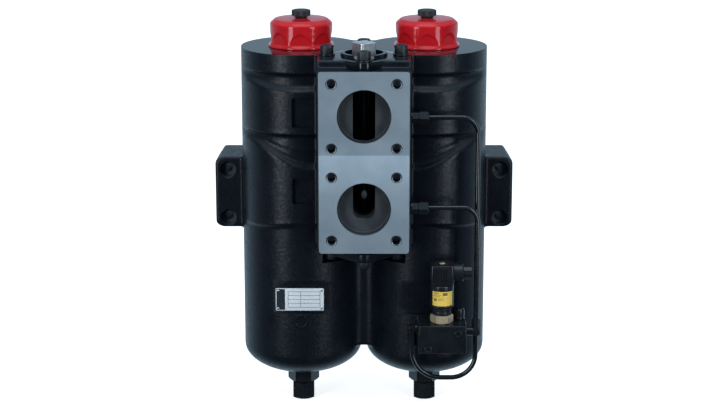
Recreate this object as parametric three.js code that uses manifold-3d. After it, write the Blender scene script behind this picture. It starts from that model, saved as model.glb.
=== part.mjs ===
// Duplex basket strainer with a change-over valve, in millimetres, +Z up, front towards -Y.
// Heights are measured from the machined top plane of the two chambers (z = 0) and the
// whole design is then lifted so that the drain plugs stand on z = 0.
import * as THREE from "three";
import { mergeVertices } from "three/addons/utils/BufferGeometryUtils.js";
import Module from "manifold-3d";

const wasm = await Module();
wasm.setup();

// ---- driving dimensions -------------------------------------------------------------
const TOP_ABOVE_FLOOR = 460;
const CENTRE_Y = -29;
const GAP = 0.3;

const CHAMBER = { x: 78, r: 75, side_bottom: -384, bottom: -420, cavity_r: 60, neck_r: 36.5 };
const LEDGE = { top: -105, bottom: -116, r: 33 };
const RIM_BOTTOM = -24;
const GROOVE_R = 71.2;
const BELT_FRONT_R = 79;
const UPPER_BELT_BOTTOM = -99;

const VALVE = { y: -71, bore_r: 34, half_width: 57, bottom: -236.5 };
const FLANGE = { front: -135, half_width: 54.3, top: -9.3, bottom: -231.6 };
const PORT = { r: 31.75, upper: -63.5, lower: -176.8, bolt_half: 39, bolt_r: 5.6, bolt_depth: 20 };
// Each port ends on a cast wall, and a tall window in that wall leads to the valve bore.
const WINDOW = { wall: -122, half: 13.4, corner_r: 9.5, upper: [-103, -29.5], lower: [-191, -135] };
const COVER = { bolt_circle: 45, corner_r: 12, thickness: 9.5, collar_r: 28.1, recess_r: 23.4 };
const BASE_COVER = { bolt_circle: 40, corner_r: 11, top: -236.8, bottom: -247.5 };
const ROTOR = { r: 33.5, top: -15, bottom: -232, slot_half: 13.9, stem_r: 16, journal_r: 9 };
// The stem's square drive: half its diagonal, that half after chamfering, and its top.
const DRIVE = { corner_r: 15.6, chamfer_r: 14.5, top: 16, turn: -0.16 };
const WASHER = { r: 10, thickness: 1.8 };
const COVER_SCREW = { head_r: 8, head: 10, shank_r: 5, shank: 26, hole_r: 5.4 };
const BASE_SCREW = { head_r: 6.5, head: 8, shank_r: 4, shank: 28, hole_r: 4.5 };

const LUG = { front: 2, back: 77, outer: 188.5, outer_back: 181, top: -143, bottom: -234 };
const LUG_HOLE = { x: 172, upper: -159.5, lower: -222, bore_r: 5.5, counterbore_r: 10.2, depth: 13 };

const LID = { base_r: 41, waist_r: 38.7, shoulder_r: 38.9, crown_r: 32.8, height: 34.2 };
const SKIRT = { r: 35.8, bottom: -18 };
const SCALLOP = 1.7;
const BASKET = { rim_r: 35.6, r: 31, wall: 1.2, bottom: -380, bail_r: 26, bail_top: 19 };
const DRAIN = { adapter_top: -420.4, adapter_bottom: -436, plug_bottom: -460 };

const PLATE_FLAT = { y: -66.3, top: -284, bottom: -327 };
const PLATE = { x: -80.2, z: -309.5, width: 60, height: 29, thickness: 1 };

const DRAIN_HEX = { adapter_r: 20, plug_r: 15.6 };
const WEB = { arc_y: -50.6, arc_r: 18, back: 40, bottom: -381 };

const INDICATOR = { x: 96, y: -98 };
const BLOCK = { left: 67, right: 126, front: -118, back: -76, top: -329, bottom: -364 };
const TUBE_R = 3;
const TUBES = {
  upper: { y: -90.5, z: -73, start: 73, bends: [21, 30, 35] },
  lower: { y: -101, z: -183, start: 73, bends: [18] },
  run_x: 138.5,
  loop_x: 60,
  loop_z: -404,
};
const ELBOW_Z = -340;
// The cast recesses left of the flange.
const POCKET = { inner: 62, outer: 88, floor: -73, upper: [-88, -52], lower: [-184, -152] };
// The two straight fittings in the valve's right side.
const FITTING = { body_r: 7.6, body_end: 66, nut_r: 8.8, nut_end: 78.8 };
const TEST_PLUG = { x: 118, y: -86 };
const TUBE_SOCKET_R = TUBE_R + 0.35;
const THREAD_R = 4.3;
const THREAD_HOLE_R = 4.6;

// ---- materials ----------------------------------------------------------------------
const MATERIALS = {
  black_paint: { color: 0x17191c, roughness: 0.45, metalness: 0.15 },
  machined: { color: 0x8f9aa3, roughness: 0.4, metalness: 0.8 },
  red_paint: { color: 0xb3131f, roughness: 0.18, metalness: 0.0 },
  black_plastic: { color: 0x121214, roughness: 0.5, metalness: 0.0 },
  black_steel: { color: 0x202226, roughness: 0.35, metalness: 0.7 },
  nickel: { color: 0xa39c86, roughness: 0.3, metalness: 0.9 },
  stainless: { color: 0xb5b8ba, roughness: 0.35, metalness: 0.9 },
  bronze: { color: 0xa8803e, roughness: 0.4, metalness: 0.9 },
  rubber: { color: 0x0c0c0d, roughness: 0.8, metalness: 0.0 },
};

// ---- solid helpers ------------------------------------------------------------------
function solid(geometry) {
  const plain = geometry.clone();
  plain.deleteAttribute("normal");
  plain.deleteAttribute("uv");
  const merged = mergeVertices(plain, 1e-4);
  const vertProperties = new Float32Array(merged.attributes.position.array);
  const triVerts = new Uint32Array(merged.index.array);
  const made = new wasm.Manifold(new wasm.Mesh({ numProp: 3, vertProperties, triVerts }));
  if (made.volume() > 0) return made;
  for (let i = 0; i < triVerts.length; i += 3) {
    [triVerts[i + 1], triVerts[i + 2]] = [triVerts[i + 2], triVerts[i + 1]];
  }
  return new wasm.Manifold(new wasm.Mesh({ numProp: 3, vertProperties, triVerts }));
}

function geometryOf(made) {
  const mesh = made.getMesh();
  const geometry = new THREE.BufferGeometry();
  geometry.setAttribute("position", new THREE.BufferAttribute(mesh.vertProperties, 3));
  geometry.setIndex(new THREE.BufferAttribute(mesh.triVerts, 1));
  geometry.computeVertexNormals();
  return geometry;
}

function join(...solids) {
  return solids.reduce((whole, piece) => whole.add(piece));
}

function cut(whole, ...cutters) {
  return cutters.reduce((left, cutter) => left.subtract(cutter), whole);
}

// A box from its low and high corners.
function box(x0, x1, y0, y1, z0, z1) {
  const geometry = new THREE.BoxGeometry(x1 - x0, y1 - y0, z1 - z0);
  return solid(geometry.translate((x0 + x1) / 2, (y0 + y1) / 2, (z0 + z1) / 2));
}

// A cylinder or prism standing on z0, on the axis (x, y).
function upright(x, y, r, z0, z1, segments = 20, turn = 0) {
  const geometry = new THREE.CylinderGeometry(r, r, z1 - z0, segments);
  geometry.rotateX(Math.PI / 2);
  geometry.rotateZ(turn);
  return solid(geometry.translate(x, y, (z0 + z1) / 2));
}

// A cylinder along Y between y0 and y1.
function alongY(x, z, r, y0, y1, segments = 20) {
  const geometry = new THREE.CylinderGeometry(r, r, y1 - y0, segments);
  return solid(geometry.translate(x, (y0 + y1) / 2, z));
}

// A cylinder or prism along X between x0 and x1.
function alongX(y, z, r, x0, x1, segments = 20) {
  const geometry = new THREE.CylinderGeometry(r, r, x1 - x0, segments);
  geometry.rotateZ(Math.PI / 2);
  return solid(geometry.translate((x0 + x1) / 2, y, z));
}

// A solid of revolution about the vertical axis (x, y); the profile is a list of [radius, height].
function turned(x, y, profile, segments = 24) {
  const points = profile.map(([r, z]) => new THREE.Vector2(r, z));
  const geometry = new THREE.LatheGeometry(points, segments);
  geometry.rotateX(Math.PI / 2);
  return solid(geometry.translate(x, y, 0));
}

// A ring with a flat section, as a profile that closes on itself.
function ring(x, y, inner, outer, z0, z1, segments = 20) {
  const profile = [[inner, z0], [outer, z0], [outer, z1], [inner, z1], [inner, z0]];
  return turned(x, y, profile, segments);
}

// An O-ring on the vertical axis (x, y).
function oRing(x, y, z, major, minor, segments = 20) {
  const geometry = new THREE.TorusGeometry(major, minor, 4, segments);
  return solid(geometry.translate(x, y, z));
}

// A horizontal outline extruded from z0 to z1.
function slab(shape, x, y, z0, z1, curveSegments = 3) {
  const options = { depth: z1 - z0, bevelEnabled: false, curveSegments };
  return solid(new THREE.ExtrudeGeometry(shape, options).translate(x, y, z0));
}

// An outline in the XZ plane extruded from y0 to y1.
function slabY(shape, y0, y1, curveSegments = 4) {
  const options = { depth: y1 - y0, bevelEnabled: false, curveSegments };
  const geometry = new THREE.ExtrudeGeometry(shape, options);
  return solid(geometry.rotateX(Math.PI / 2).translate(0, y1, 0));
}

function mirrored(geometry) {
  return geometry.clone().scale(-1, 1, 1);
}

function smoothstep(low, high, value) {
  return THREE.MathUtils.smoothstep(value, low, high);
}

// ---- outlines -----------------------------------------------------------------------
// A square standing on its corner: round corners of radius r about centres at `reach`.
function diamond(reach, r) {
  const shape = new THREE.Shape();
  for (let i = 0; i < 4; i++) {
    const middle = (i * Math.PI) / 2;
    const cx = reach * Math.cos(middle);
    const cy = reach * Math.sin(middle);
    shape.absarc(cx, cy, r, middle - Math.PI / 4, middle + Math.PI / 4, false);
  }
  shape.closePath();
  return shape;
}

function roundedRectangle(x0, x1, z0, z1, r) {
  const shape = new THREE.Shape();
  shape.absarc(x1 - r, z1 - r, r, 0, Math.PI / 2, false);
  shape.absarc(x0 + r, z1 - r, r, Math.PI / 2, Math.PI, false);
  shape.absarc(x0 + r, z0 + r, r, Math.PI, 1.5 * Math.PI, false);
  shape.absarc(x1 - r, z0 + r, r, 1.5 * Math.PI, 2 * Math.PI, false);
  shape.closePath();
  return shape;
}

// ---- housing ------------------------------------------------------------------------
// Where a chamber's cast rows lie. `a` is the angle in degrees from the front, positive
// towards the outer side and negative towards the valve.
function upperBeltTop(a) {
  return -30 - 9 * (1 - smoothstep(5, 70, Math.abs(a)));
}

function lowerBeltTop(a) {
  return -104 - 31 * (1 - smoothstep(-12, 55, a));
}

function lowerBeltBottom(a) {
  return -210 - 7.5 * smoothstep(-15, 60, Math.abs(a));
}

function grooveDepth(a, fadeFrom, fadeTo) {
  return (CHAMBER.r - GROOVE_R) * (1 - smoothstep(fadeFrom, fadeTo, Math.abs(a)));
}

function beltR(a) {
  return CHAMBER.r + (BELT_FRONT_R - CHAMBER.r) * (1 - smoothstep(20, 85, Math.abs(a)));
}

// Each row gives the height and radius at angle a, from the chamber's top to its side's foot.
function chamberRows(a) {
  const upperGroove = CHAMBER.r - grooveDepth(a, 45, 80);
  const middleGroove = CHAMBER.r - grooveDepth(a, 40, 85);
  const belt = beltR(a);
  const top = upperBeltTop(a);
  const second = lowerBeltTop(a);
  const lip = lowerBeltBottom(a);
  return [
    [0, CHAMBER.r],
    [RIM_BOTTOM, CHAMBER.r],
    [RIM_BOTTOM - 2, upperGroove],
    [top + 1.5, upperGroove],
    [top - 3, (belt + CHAMBER.r) / 2],
    [top - 10, belt],
    [UPPER_BELT_BOTTOM + 1, belt],
    [UPPER_BELT_BOTTOM, middleGroove],
    [Math.min(second + 2, UPPER_BELT_BOTTOM - 1.5), middleGroove],
    [second - 4, (belt + CHAMBER.r) / 2],
    [second - 12, belt],
    [lip + 1.5, belt],
    [lip, CHAMBER.r],
    [CHAMBER.side_bottom, CHAMBER.r],
  ];
}

function chamberBody(side) {
  const segments = 32;
  const domeSteps = 4;
  const sideRows = chamberRows(0).length;
  const points = [new THREE.Vector2(0, 0)];
  for (let row = 0; row < sideRows; row++) points.push(new THREE.Vector2(CHAMBER.r, -row));
  for (let step = 1; step <= domeSteps; step++) {
    const t = (step / domeSteps) * (Math.PI / 2);
    const r = step === domeSteps ? 0 : CHAMBER.r * Math.cos(t);
    const drop = (CHAMBER.side_bottom - CHAMBER.bottom) * Math.sin(t);
    points.push(new THREE.Vector2(r, CHAMBER.side_bottom - drop));
  }
  const geometry = new THREE.LatheGeometry(points, segments);
  geometry.rotateX(Math.PI / 2);
  const position = geometry.attributes.position;
  for (let i = 0; i < position.count; i++) {
    const row = (i % points.length) - 1;
    if (row < 0 || row >= sideRows) continue;
    const turn = (Math.floor(i / points.length) % segments) / segments;
    const phi = turn * 2 * Math.PI;
    const a = THREE.MathUtils.radToDeg(phi > Math.PI ? phi - 2 * Math.PI : phi);
    const [z, r] = chamberRows(a)[row];
    position.setXYZ(i, r * Math.sin(phi), -r * Math.cos(phi), z);
  }
  geometry.translate(CHAMBER.x, 0, 0);
  return solid(side > 0 ? geometry : mirrored(geometry));
}

function chamberCavity(side) {
  const { cavity_r, neck_r } = CHAMBER;
  const profile = [
    [0, 1],
    [neck_r, 1],
    [neck_r, -26],
    [cavity_r, -38],
    [cavity_r, LEDGE.top],
    [LEDGE.r, LEDGE.top],
    [LEDGE.r, LEDGE.bottom],
    [cavity_r, LEDGE.bottom - 10],
    [cavity_r, -378],
    [cavity_r * 0.8, -397],
    [0, -405],
  ];
  return turned(side * CHAMBER.x, 0, profile, 20);
}

// The cored ways from the valve bore to one chamber: upper one in, lower one out.
function passages(side) {
  const near = 17;
  const far = 88;
  const height = 46;
  const width = 40;
  const aim = Math.atan2(-VALVE.y, CHAMBER.x);
  const turn = side > 0 ? aim : Math.PI - aim;
  return [PORT.upper - 5, PORT.lower + 3].map((z) => {
    const geometry = new THREE.BoxGeometry(far - near, width, height);
    geometry.translate((near + far) / 2, 0, 0);
    geometry.rotateZ(turn);
    return solid(geometry.translate(0, VALVE.y, z));
  });
}

// One of the two feet at the sides, with two counterbored holes.
function lug(side) {
  const shape = new THREE.Shape();
  const inner = 135;
  shape.moveTo(inner, LUG.front);
  shape.lineTo(LUG.outer, LUG.front);
  shape.lineTo(LUG.outer_back, LUG.back);
  shape.lineTo(inner, LUG.back);
  shape.closePath();
  const plan = slab(shape, 0, 0, LUG.bottom, LUG.top);
  const face = slabY(
    roundedRectangle(inner - 10, LUG.outer + 1, LUG.bottom, LUG.top, 11),
    LUG.front - 1,
    LUG.back + 1,
  );
  let body = plan.intersect(face);
  for (const z of [LUG_HOLE.upper, LUG_HOLE.lower]) {
    body = cut(
      body,
      alongY(LUG_HOLE.x, z, LUG_HOLE.bore_r, LUG.front - 2, LUG.back + 2, 16),
      alongY(LUG_HOLE.x, z, LUG_HOLE.counterbore_r, LUG.front - 2, LUG.front + LUG_HOLE.depth, 20),
    );
  }
  return side > 0 ? body : solid(mirrored(geometryOf(body)));
}

// A shallow cast recess left of the flange.
function pocket([low, high]) {
  return box(-POCKET.outer, -POCKET.inner, POCKET.floor - 20, POCKET.floor, low, high);
}

// A port's round mouth, and the window in its back wall through to the valve bore.
function portPassage(z, [low, high]) {
  const { wall, half, corner_r } = WINDOW;
  const window = roundedRectangle(-half, half, low, high, corner_r);
  return join(
    alongY(0, z, PORT.r, FLANGE.front - 1, wall, 28),
    slabY(window, wall - 1, VALVE.y, 4),
  );
}

// The web between the chambers; its front is hollowed by an arc that runs into both of them.
function web() {
  const reach = CHAMBER.r + WEB.arc_r;
  const edge = Math.acos(CHAMBER.x / reach);
  const shape = new THREE.Shape();
  shape.moveTo(26, -30);
  shape.lineTo(26, WEB.back);
  shape.lineTo(-26, WEB.back);
  shape.lineTo(-26, -30);
  shape.absarc(0, WEB.arc_y, WEB.arc_r, Math.PI - edge, edge, true);
  shape.closePath();
  return slab(shape, 0, 0, WEB.bottom, 0, 10);
}

function housing() {
  const sides = [-1, 1];
  let body = join(...sides.map(chamberBody));
  body = join(
    body,
    web(),
    box(-26, 26, -60, -16, VALVE.bottom, 0),
    box(-VALVE.half_width, VALVE.half_width, -112, -30, VALVE.bottom, -COVER.thickness - GAP),
    box(-FLANGE.half_width, FLANGE.half_width, FLANGE.front, -100, FLANGE.bottom, FLANGE.top),
  );
  body = join(body, ...sides.map(lug));
  body = join(
    body,
    alongY(-78.6, -336, 9, -76.3, -70, 20),
    box(BLOCK.left + 2, BLOCK.right - 2, BLOCK.back + GAP, -50, BLOCK.bottom + 2, BLOCK.top - 2),
    ...sides.map((side) => upright(side * CHAMBER.x, 0, 17, DRAIN.adapter_top + 0.4, -400, 20)),
  );

  body = cut(body, ...sides.map(chamberCavity), ...sides.flatMap(passages));
  body = cut(
    body,
    upright(0, VALVE.y, VALVE.bore_r, VALVE.bottom - 1, 1, 28),
    slab(diamond(COVER.bolt_circle, COVER.corner_r + 0.4), 0, VALVE.y, -COVER.thickness - GAP, 5),
    slab(diamond(BASE_COVER.bolt_circle, BASE_COVER.corner_r + 0.5), 0, VALVE.y, -262, VALVE.bottom),
    portPassage(PORT.upper, WINDOW.upper),
    portPassage(PORT.lower, WINDOW.lower),
    pocket(POCKET.upper),
    pocket(POCKET.lower),
    alongY(-78.6, -336, 6.5, -78, -75.3, 16),
    box(-200, 0, -90, PLATE_FLAT.y, PLATE_FLAT.bottom, PLATE_FLAT.top),
    box(42, 114, -90, PLATE_FLAT.y, PLATE_FLAT.bottom, PLATE_FLAT.top),
  );
  for (const side of sides) {
    body = cut(body, upright(side * CHAMBER.x, 0, 8.5, -425, -395, 16));
    for (const port of [PORT.upper, PORT.lower]) {
      for (const dz of [-PORT.bolt_half, PORT.bolt_half]) {
        const depth = FLANGE.front + PORT.bolt_depth;
        const x = side * PORT.bolt_half;
        body = cut(body, alongY(x, port + dz, PORT.bolt_r, FLANGE.front - 1, depth, 8));
      }
    }
  }
  for (const [x, y] of boltPlaces(COVER.bolt_circle)) {
    body = cut(body, upright(x, y, COVER_SCREW.hole_r, -26, 0, 10));
  }
  for (const [x, y] of boltPlaces(BASE_COVER.bolt_circle)) {
    body = cut(body, upright(x, y, BASE_SCREW.hole_r, VALVE.bottom - 1, -214, 10));
  }
  body = cut(
    body,
    alongX(TUBES.upper.y, TUBES.upper.z, THREAD_HOLE_R, 47, 58, 12),
    alongX(TUBES.lower.y, TUBES.lower.z, THREAD_HOLE_R, 47, 58, 12),
  );
  return body;
}

// Front, back, left and right of the valve axis.
function boltPlaces(circle) {
  return [
    [0, VALVE.y - circle],
    [circle, VALVE.y],
    [0, VALVE.y + circle],
    [-circle, VALVE.y],
  ];
}

// ---- change-over valve --------------------------------------------------------------
function valveTopCover() {
  let body = join(
    slab(diamond(COVER.bolt_circle, COVER.corner_r), 0, VALVE.y, -COVER.thickness, 0),
    upright(0, VALVE.y, COVER.collar_r, -1, 3.5, 28),
    upright(0, VALVE.y, VALVE.bore_r - 0.4, ROTOR.top + 1, -5, 28),
  );
  body = cut(
    body,
    upright(0, VALVE.y, COVER.recess_r, -5, 5, 24),
    upright(0, VALVE.y, ROTOR.stem_r + 3.6, -20, 5, 20),
  );
  for (const [x, y] of boltPlaces(COVER.bolt_circle)) {
    body = cut(body, upright(x, y, COVER_SCREW.hole_r, -20, 5, 10));
  }
  return body;
}

function valveBottomCover() {
  const outline = diamond(BASE_COVER.bolt_circle, BASE_COVER.corner_r);
  let body = join(
    slab(outline, 0, VALVE.y, BASE_COVER.bottom, BASE_COVER.top),
    upright(0, VALVE.y, VALVE.bore_r - 0.4, BASE_COVER.top - 1, ROTOR.bottom - 1, 24),
  );
  body = cut(body, upright(0, VALVE.y, ROTOR.journal_r + 3.6, BASE_COVER.bottom + 3, -200, 20));
  for (const [x, y] of boltPlaces(BASE_COVER.bolt_circle)) {
    const { bottom, top } = BASE_COVER;
    body = cut(body, upright(x, y, BASE_SCREW.hole_r, bottom - 1, top + 1, 10));
  }
  return body;
}

// Drum with one slot for each port, its stem and square drive above, its journal below.
function changeoverRotor() {
  const square = upright(0, VALVE.y, DRIVE.corner_r, -3, DRIVE.top, 4, DRIVE.turn);
  let body = upright(0, VALVE.y, ROTOR.r, ROTOR.bottom, ROTOR.top, 28);
  const slots = [[-112, -28], [-191, -127]];
  for (const [low, high] of slots) {
    const half = ROTOR.slot_half;
    const slot = roundedRectangle(-half, half, low, high, half - 0.1);
    body = cut(body, slabY(slot, VALVE.y - ROTOR.r - 2, VALVE.y + ROTOR.r + 2));
  }
  body = join(
    body,
    upright(0, VALVE.y, 4.2, -195, -20, 10),
    upright(0, VALVE.y, ROTOR.stem_r, ROTOR.top - 1, -2, 20),
    square.intersect(upright(0, VALVE.y, DRIVE.chamfer_r, -3, DRIVE.top, 36)),
    upright(0, VALVE.y, ROTOR.journal_r, BASE_COVER.bottom + 3.6, ROTOR.bottom + 1, 20),
  );
  const groove = ring(0, VALVE.y, ROTOR.stem_r - 2.8, ROTOR.stem_r + 1, -13.4, -10.6, 20);
  return cut(body, groove);
}

// Socket-head screw whose head stands on z; `direction` -1 hangs the head below it instead.
function capScrew(x, y, z, { head_r, head, shank_r, shank }, direction = 1) {
  const at = (height) => z + direction * height;
  const between = (a, b) => [Math.min(at(a), at(b)), Math.max(at(a), at(b))];
  const cap = turned(x, y, [
    [0, z],
    [head_r, z],
    [head_r, at(head - 0.8)],
    [head_r - 0.8, at(head)],
    [0, at(head)],
  ], 12);
  const socket = upright(x, y, head_r * 0.6, ...between(head * 0.4, head + 1), 6);
  return cut(join(cap, upright(x, y, shank_r, ...between(-shank, 0.5), 8)), socket);
}

// ---- chambers' own fittings ---------------------------------------------------------
// The cap's outline: eight shallow hand scallops, which fade out towards base and crown.
function lid(side) {
  const rows = [
    [0, GAP, 0],
    [LID.base_r, GAP, 0.3],
    [LID.base_r, 2.5, 0.5],
    [LID.waist_r + 0.4, 6, 1],
    [LID.waist_r, 14, 1],
    [LID.waist_r, 22, 0.9],
    [LID.shoulder_r, 29, 0.3],
    [LID.crown_r, LID.height, 0],
    [0, LID.height, 0],
  ];
  const segments = 24;
  const points = rows.map(([r, z]) => new THREE.Vector2(r, z));
  const geometry = new THREE.LatheGeometry(points, segments);
  geometry.rotateX(Math.PI / 2);
  const position = geometry.attributes.position;
  for (let i = 0; i < position.count; i++) {
    const [r, z, share] = rows[i % rows.length];
    const phi = ((Math.floor(i / rows.length) % segments) / segments) * 2 * Math.PI;
    const shaped = r - (r > 0 ? SCALLOP * share * Math.cos(4 * phi) ** 2 : 0);
    position.setXYZ(i, shaped * Math.sin(phi), -shaped * Math.cos(phi), z);
  }
  const x = side * CHAMBER.x;
  const skirt = turned(x, 0, [
    [0, 1],
    [SKIRT.r, 1],
    [SKIRT.r, -1.6],
    [33.4, -1.6],
    [33.4, -4.4],
    [SKIRT.r, -4.4],
    [SKIRT.r, SKIRT.bottom + 1.5],
    [SKIRT.r - 1.5, SKIRT.bottom],
    [0, SKIRT.bottom],
  ]);
  return cut(
    join(solid(geometry.translate(x, 0, 0)), skirt, upright(x, 0, 10, LID.height - 1, 34.5, 20)),
    upright(x, 0, 30, SKIRT.bottom - 1, 25, 20),
    upright(x, 0, 5, 20, 40, 16),
  );
}

function ventPlug(side) {
  const x = side * CHAMBER.x;
  const profile = [
    [0, 26],
    [4.5, 26],
    [4.5, 36.1],
    [8, 36.1],
    [8.6, 37.4],
    [11.65, 38],
    [11.65, 43.6],
    [10.4, 44.8],
    [0, 44.8],
  ];
  return turned(x, 0, profile, 16);
}

// Rim, windowed tube and closed foot of the basket.
function basket(side) {
  const x = side * CHAMBER.x;
  const { rim_r, r, wall, bottom } = BASKET;
  const rimLow = LEDGE.top + GAP;
  let body = turned(x, 0, [
    [0, bottom],
    [r, bottom],
    [r, rimLow],
    [rim_r, rimLow],
    [rim_r, rimLow + 3.5],
    [r - wall, rimLow + 3.5],
    [r - wall, bottom + 1.5],
    [0, bottom + 1.5],
  ], 20);
  const windowHeight = 116;
  const rowsOfWindows = 2;
  for (let row = 0; row < rowsOfWindows; row++) {
    const z0 = bottom + 14 + row * (windowHeight + 12);
    for (let i = 0; i < 3; i++) {
      const geometry = new THREE.BoxGeometry(2 * r + 4, 20, windowHeight);
      geometry.rotateZ((i * Math.PI) / 3);
      body = cut(body, solid(geometry.translate(x, 0, z0 + windowHeight / 2)));
    }
  }
  return body;
}

function basketScreen(side) {
  const inside = BASKET.r - BASKET.wall - GAP;
  const low = BASKET.bottom + 1.5 + GAP;
  return ring(side * CHAMBER.x, 0, inside - 0.6, inside, low, LEDGE.top - 1, 20);
}

// Tall wire bail that stands on the basket's rim and stops just under the closed lid.
function basketBail(side) {
  const wire = 2;
  const foot = LEDGE.top + GAP + 3.5 + GAP;
  const reach = 32;
  const shoulder = BASKET.bail_top - BASKET.bail_r;
  const path = new THREE.CurvePath();
  const at = (x, z) => new THREE.Vector3(side * CHAMBER.x + x, 0, z);
  path.add(new THREE.LineCurve3(at(-reach, foot), at(-BASKET.bail_r, shoulder)));
  path.add(
    new THREE.CubicBezierCurve3(
      at(-BASKET.bail_r, shoulder),
      at(-BASKET.bail_r, BASKET.bail_top + 5),
      at(BASKET.bail_r, BASKET.bail_top + 5),
      at(BASKET.bail_r, shoulder),
    ),
  );
  path.add(new THREE.LineCurve3(at(BASKET.bail_r, shoulder), at(reach, foot)));
  return sweep(path, wire, 18, 6);
}

// A round section of radius r swept along a curve.
function sweep(path, r, steps, sides = 8) {
  const section = new THREE.Shape();
  for (let i = 0; i < sides; i++) {
    const t = (i / sides) * 2 * Math.PI;
    if (i === 0) section.moveTo(r * Math.cos(t), r * Math.sin(t));
    else section.lineTo(r * Math.cos(t), r * Math.sin(t));
  }
  section.closePath();
  return solid(new THREE.ExtrudeGeometry(section, { steps, extrudePath: path, bevelEnabled: false }));
}

function drainAdapter(side) {
  const x = side * CHAMBER.x;
  const { adapter_bottom, adapter_top } = DRAIN;
  const hex = upright(x, 0, DRAIN_HEX.adapter_r, adapter_bottom, adapter_top, 6, Math.PI / 6);
  const spigot = upright(x, 0, 8, DRAIN.adapter_top - 1, -404, 16);
  return cut(join(hex, spigot), upright(x, 0, 5.6, -437, -400, 16));
}

function drainPlug(side) {
  const x = side * CHAMBER.x;
  const top = DRAIN.adapter_bottom - 2;
  const chamfered = turned(x, 0, [
    [0, DRAIN.plug_bottom],
    [DRAIN_HEX.plug_r - 3.2, DRAIN.plug_bottom],
    [DRAIN_HEX.plug_r, DRAIN.plug_bottom + 2.8],
    [DRAIN_HEX.plug_r, top],
    [0, top],
  ], 24);
  const hex = upright(x, 0, DRAIN_HEX.plug_r, DRAIN.plug_bottom, top, 6).intersect(chamfered);
  return join(hex, upright(x, 0, 5, top - 1, -422, 14));
}

// ---- nameplate ----------------------------------------------------------------------
function nameplate() {
  const { x, z, width, height, thickness } = PLATE;
  const back = PLATE_FLAT.y - GAP;
  const shape = roundedRectangle(x - width / 2, x + width / 2, z - height / 2, z + height / 2, 1.5);
  return slabY(shape, back - thickness, back, 2);
}

function rivet(dx, dz) {
  const back = PLATE_FLAT.y - GAP - PLATE.thickness - GAP;
  return alongY(PLATE.x + dx, PLATE.z + dz, 1.5, back - 0.9, back, 10);
}

// ---- differential pressure indicator ------------------------------------------------
function indicatorBlock() {
  const { left, right, front, back, top, bottom } = BLOCK;
  let body = box(left, right, front, back, bottom, top);
  body = cut(body, upright(INDICATOR.x, INDICATOR.y, 8.6, top - 16, top + 1, 16));
  for (const [x, z] of blockScrewPlaces()) {
    body = cut(body, alongY(x, z, 3.4, front - 1, back + 1, 10));
  }
  return cut(
    body,
    upright(TEST_PLUG.x, TEST_PLUG.y, THREAD_HOLE_R, top - 5, top + 1, 10),
    alongX(TUBES.upper.y, ELBOW_Z, THREAD_HOLE_R, left - 1, left + 10, 12),
    alongX(TUBES.lower.y, ELBOW_Z, THREAD_HOLE_R, right - 10, right + 1, 12),
  );
}

function blockScrewPlaces() {
  return [[115.4, -338], [78.7, -358]];
}

// Screw through the block, its socket head on the front face.
function blockScrew([x, z]) {
  const face = BLOCK.front - GAP;
  const head = alongY(x, z, 5, face - 3.5, face, 18);
  const shank = alongY(x, z, 3, face - 1, BLOCK.back, 10);
  return cut(join(head, shank), alongY(x, z, 2.9, face - 4, face - 1.6, 6));
}

function indicatorStem() {
  const { x, y } = INDICATOR;
  return join(
    upright(x, y, 14.2, BLOCK.top + GAP, -318.5, 6, Math.PI / 6),
    upright(x, y, 8.3, BLOCK.top - 15, BLOCK.top + 1, 16),
  );
}

function indicatorBody() {
  const { x, y } = INDICATOR;
  return turned(x, y, [
    [0, -318.2],
    [12.2, -318.2],
    [12.2, -309.5],
    [13.6, -308.7],
    [14.7, -307.6],
    [14.7, -281],
    [14, -280],
    [0, -280],
  ], 24);
}

function connectorHood() {
  const { x, y } = INDICATOR;
  const half = 14.3;
  const shape = roundedRectangle(-half, half, -half, half, 3);
  let body = slab(shape, x, y, -279.6, -254, 3);
  body = join(body, alongX(y, -265.5, 11.3, x + half - 3, 122, 20));
  body = cut(body, box(x - 9.5, x + 9.5, y - half - 1, y - half + 1, -274, -259));
  body = cut(body, upright(x, y, 2.4, -285, -250, 12), upright(x, y, 4, -256.5, -250, 16));
  return cut(body, alongX(y, -265.5, 4, x + 6, 125, 12));
}

function connectorScrew() {
  const { x, y } = INDICATOR;
  const head = upright(x, y, 3.6, -256.2, -253.6, 16);
  const shank = upright(x, y, 1.9, -279.4, -256, 10);
  const slot = box(x - 4, x + 4, y - 0.5, y + 0.5, -254.6, -253);
  return cut(join(head, shank), slot);
}

function glandNut() {
  const ringed = alongX(INDICATOR.y, -265.5, 9, 122.3, 132.3, 12);
  return cut(ringed, alongX(INDICATOR.y, -265.5, 4.2, 120, 135, 12));
}

function blankingPlug() {
  const { x, y } = TEST_PLUG;
  const cap = turned(x, y, [
    [0, BLOCK.top + GAP],
    [6.8, BLOCK.top + GAP],
    [6.8, BLOCK.top + 11.5],
    [5.4, BLOCK.top + 14],
    [2.6, BLOCK.top + 15],
    [0, BLOCK.top + 15],
  ], 16);
  return join(cap, upright(x, y, THREAD_R, BLOCK.top - 4.5, BLOCK.top + 1, 10));
}

// Straight fitting screwed into the valve's right side, and the nut that holds its tube.
function gaugeFitting({ y, z, start }) {
  const face = VALVE.half_width + GAP;
  const { body_r, body_end, nut_r, nut_end } = FITTING;
  const turnToFront = new THREE.Matrix4().makeRotationX(Math.PI / 6);
  const hexAlongX = (r, x0, x1) => {
    const prism = geometryOf(alongX(0, 0, r, x0, x1, 6)).applyMatrix4(turnToFront);
    return solid(prism.translate(0, y, z));
  };
  const thread = alongX(y, z, THREAD_R, face - 8, face + 1, 12);
  const body = hexAlongX(body_r, face, body_end + 1);
  const nut = hexAlongX(nut_r, body_end, nut_end);
  const mouth = alongX(y, z, TUBE_SOCKET_R, start - 2, nut_end + 1, 12);
  return cut(join(thread, body, nut), mouth);
}

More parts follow.
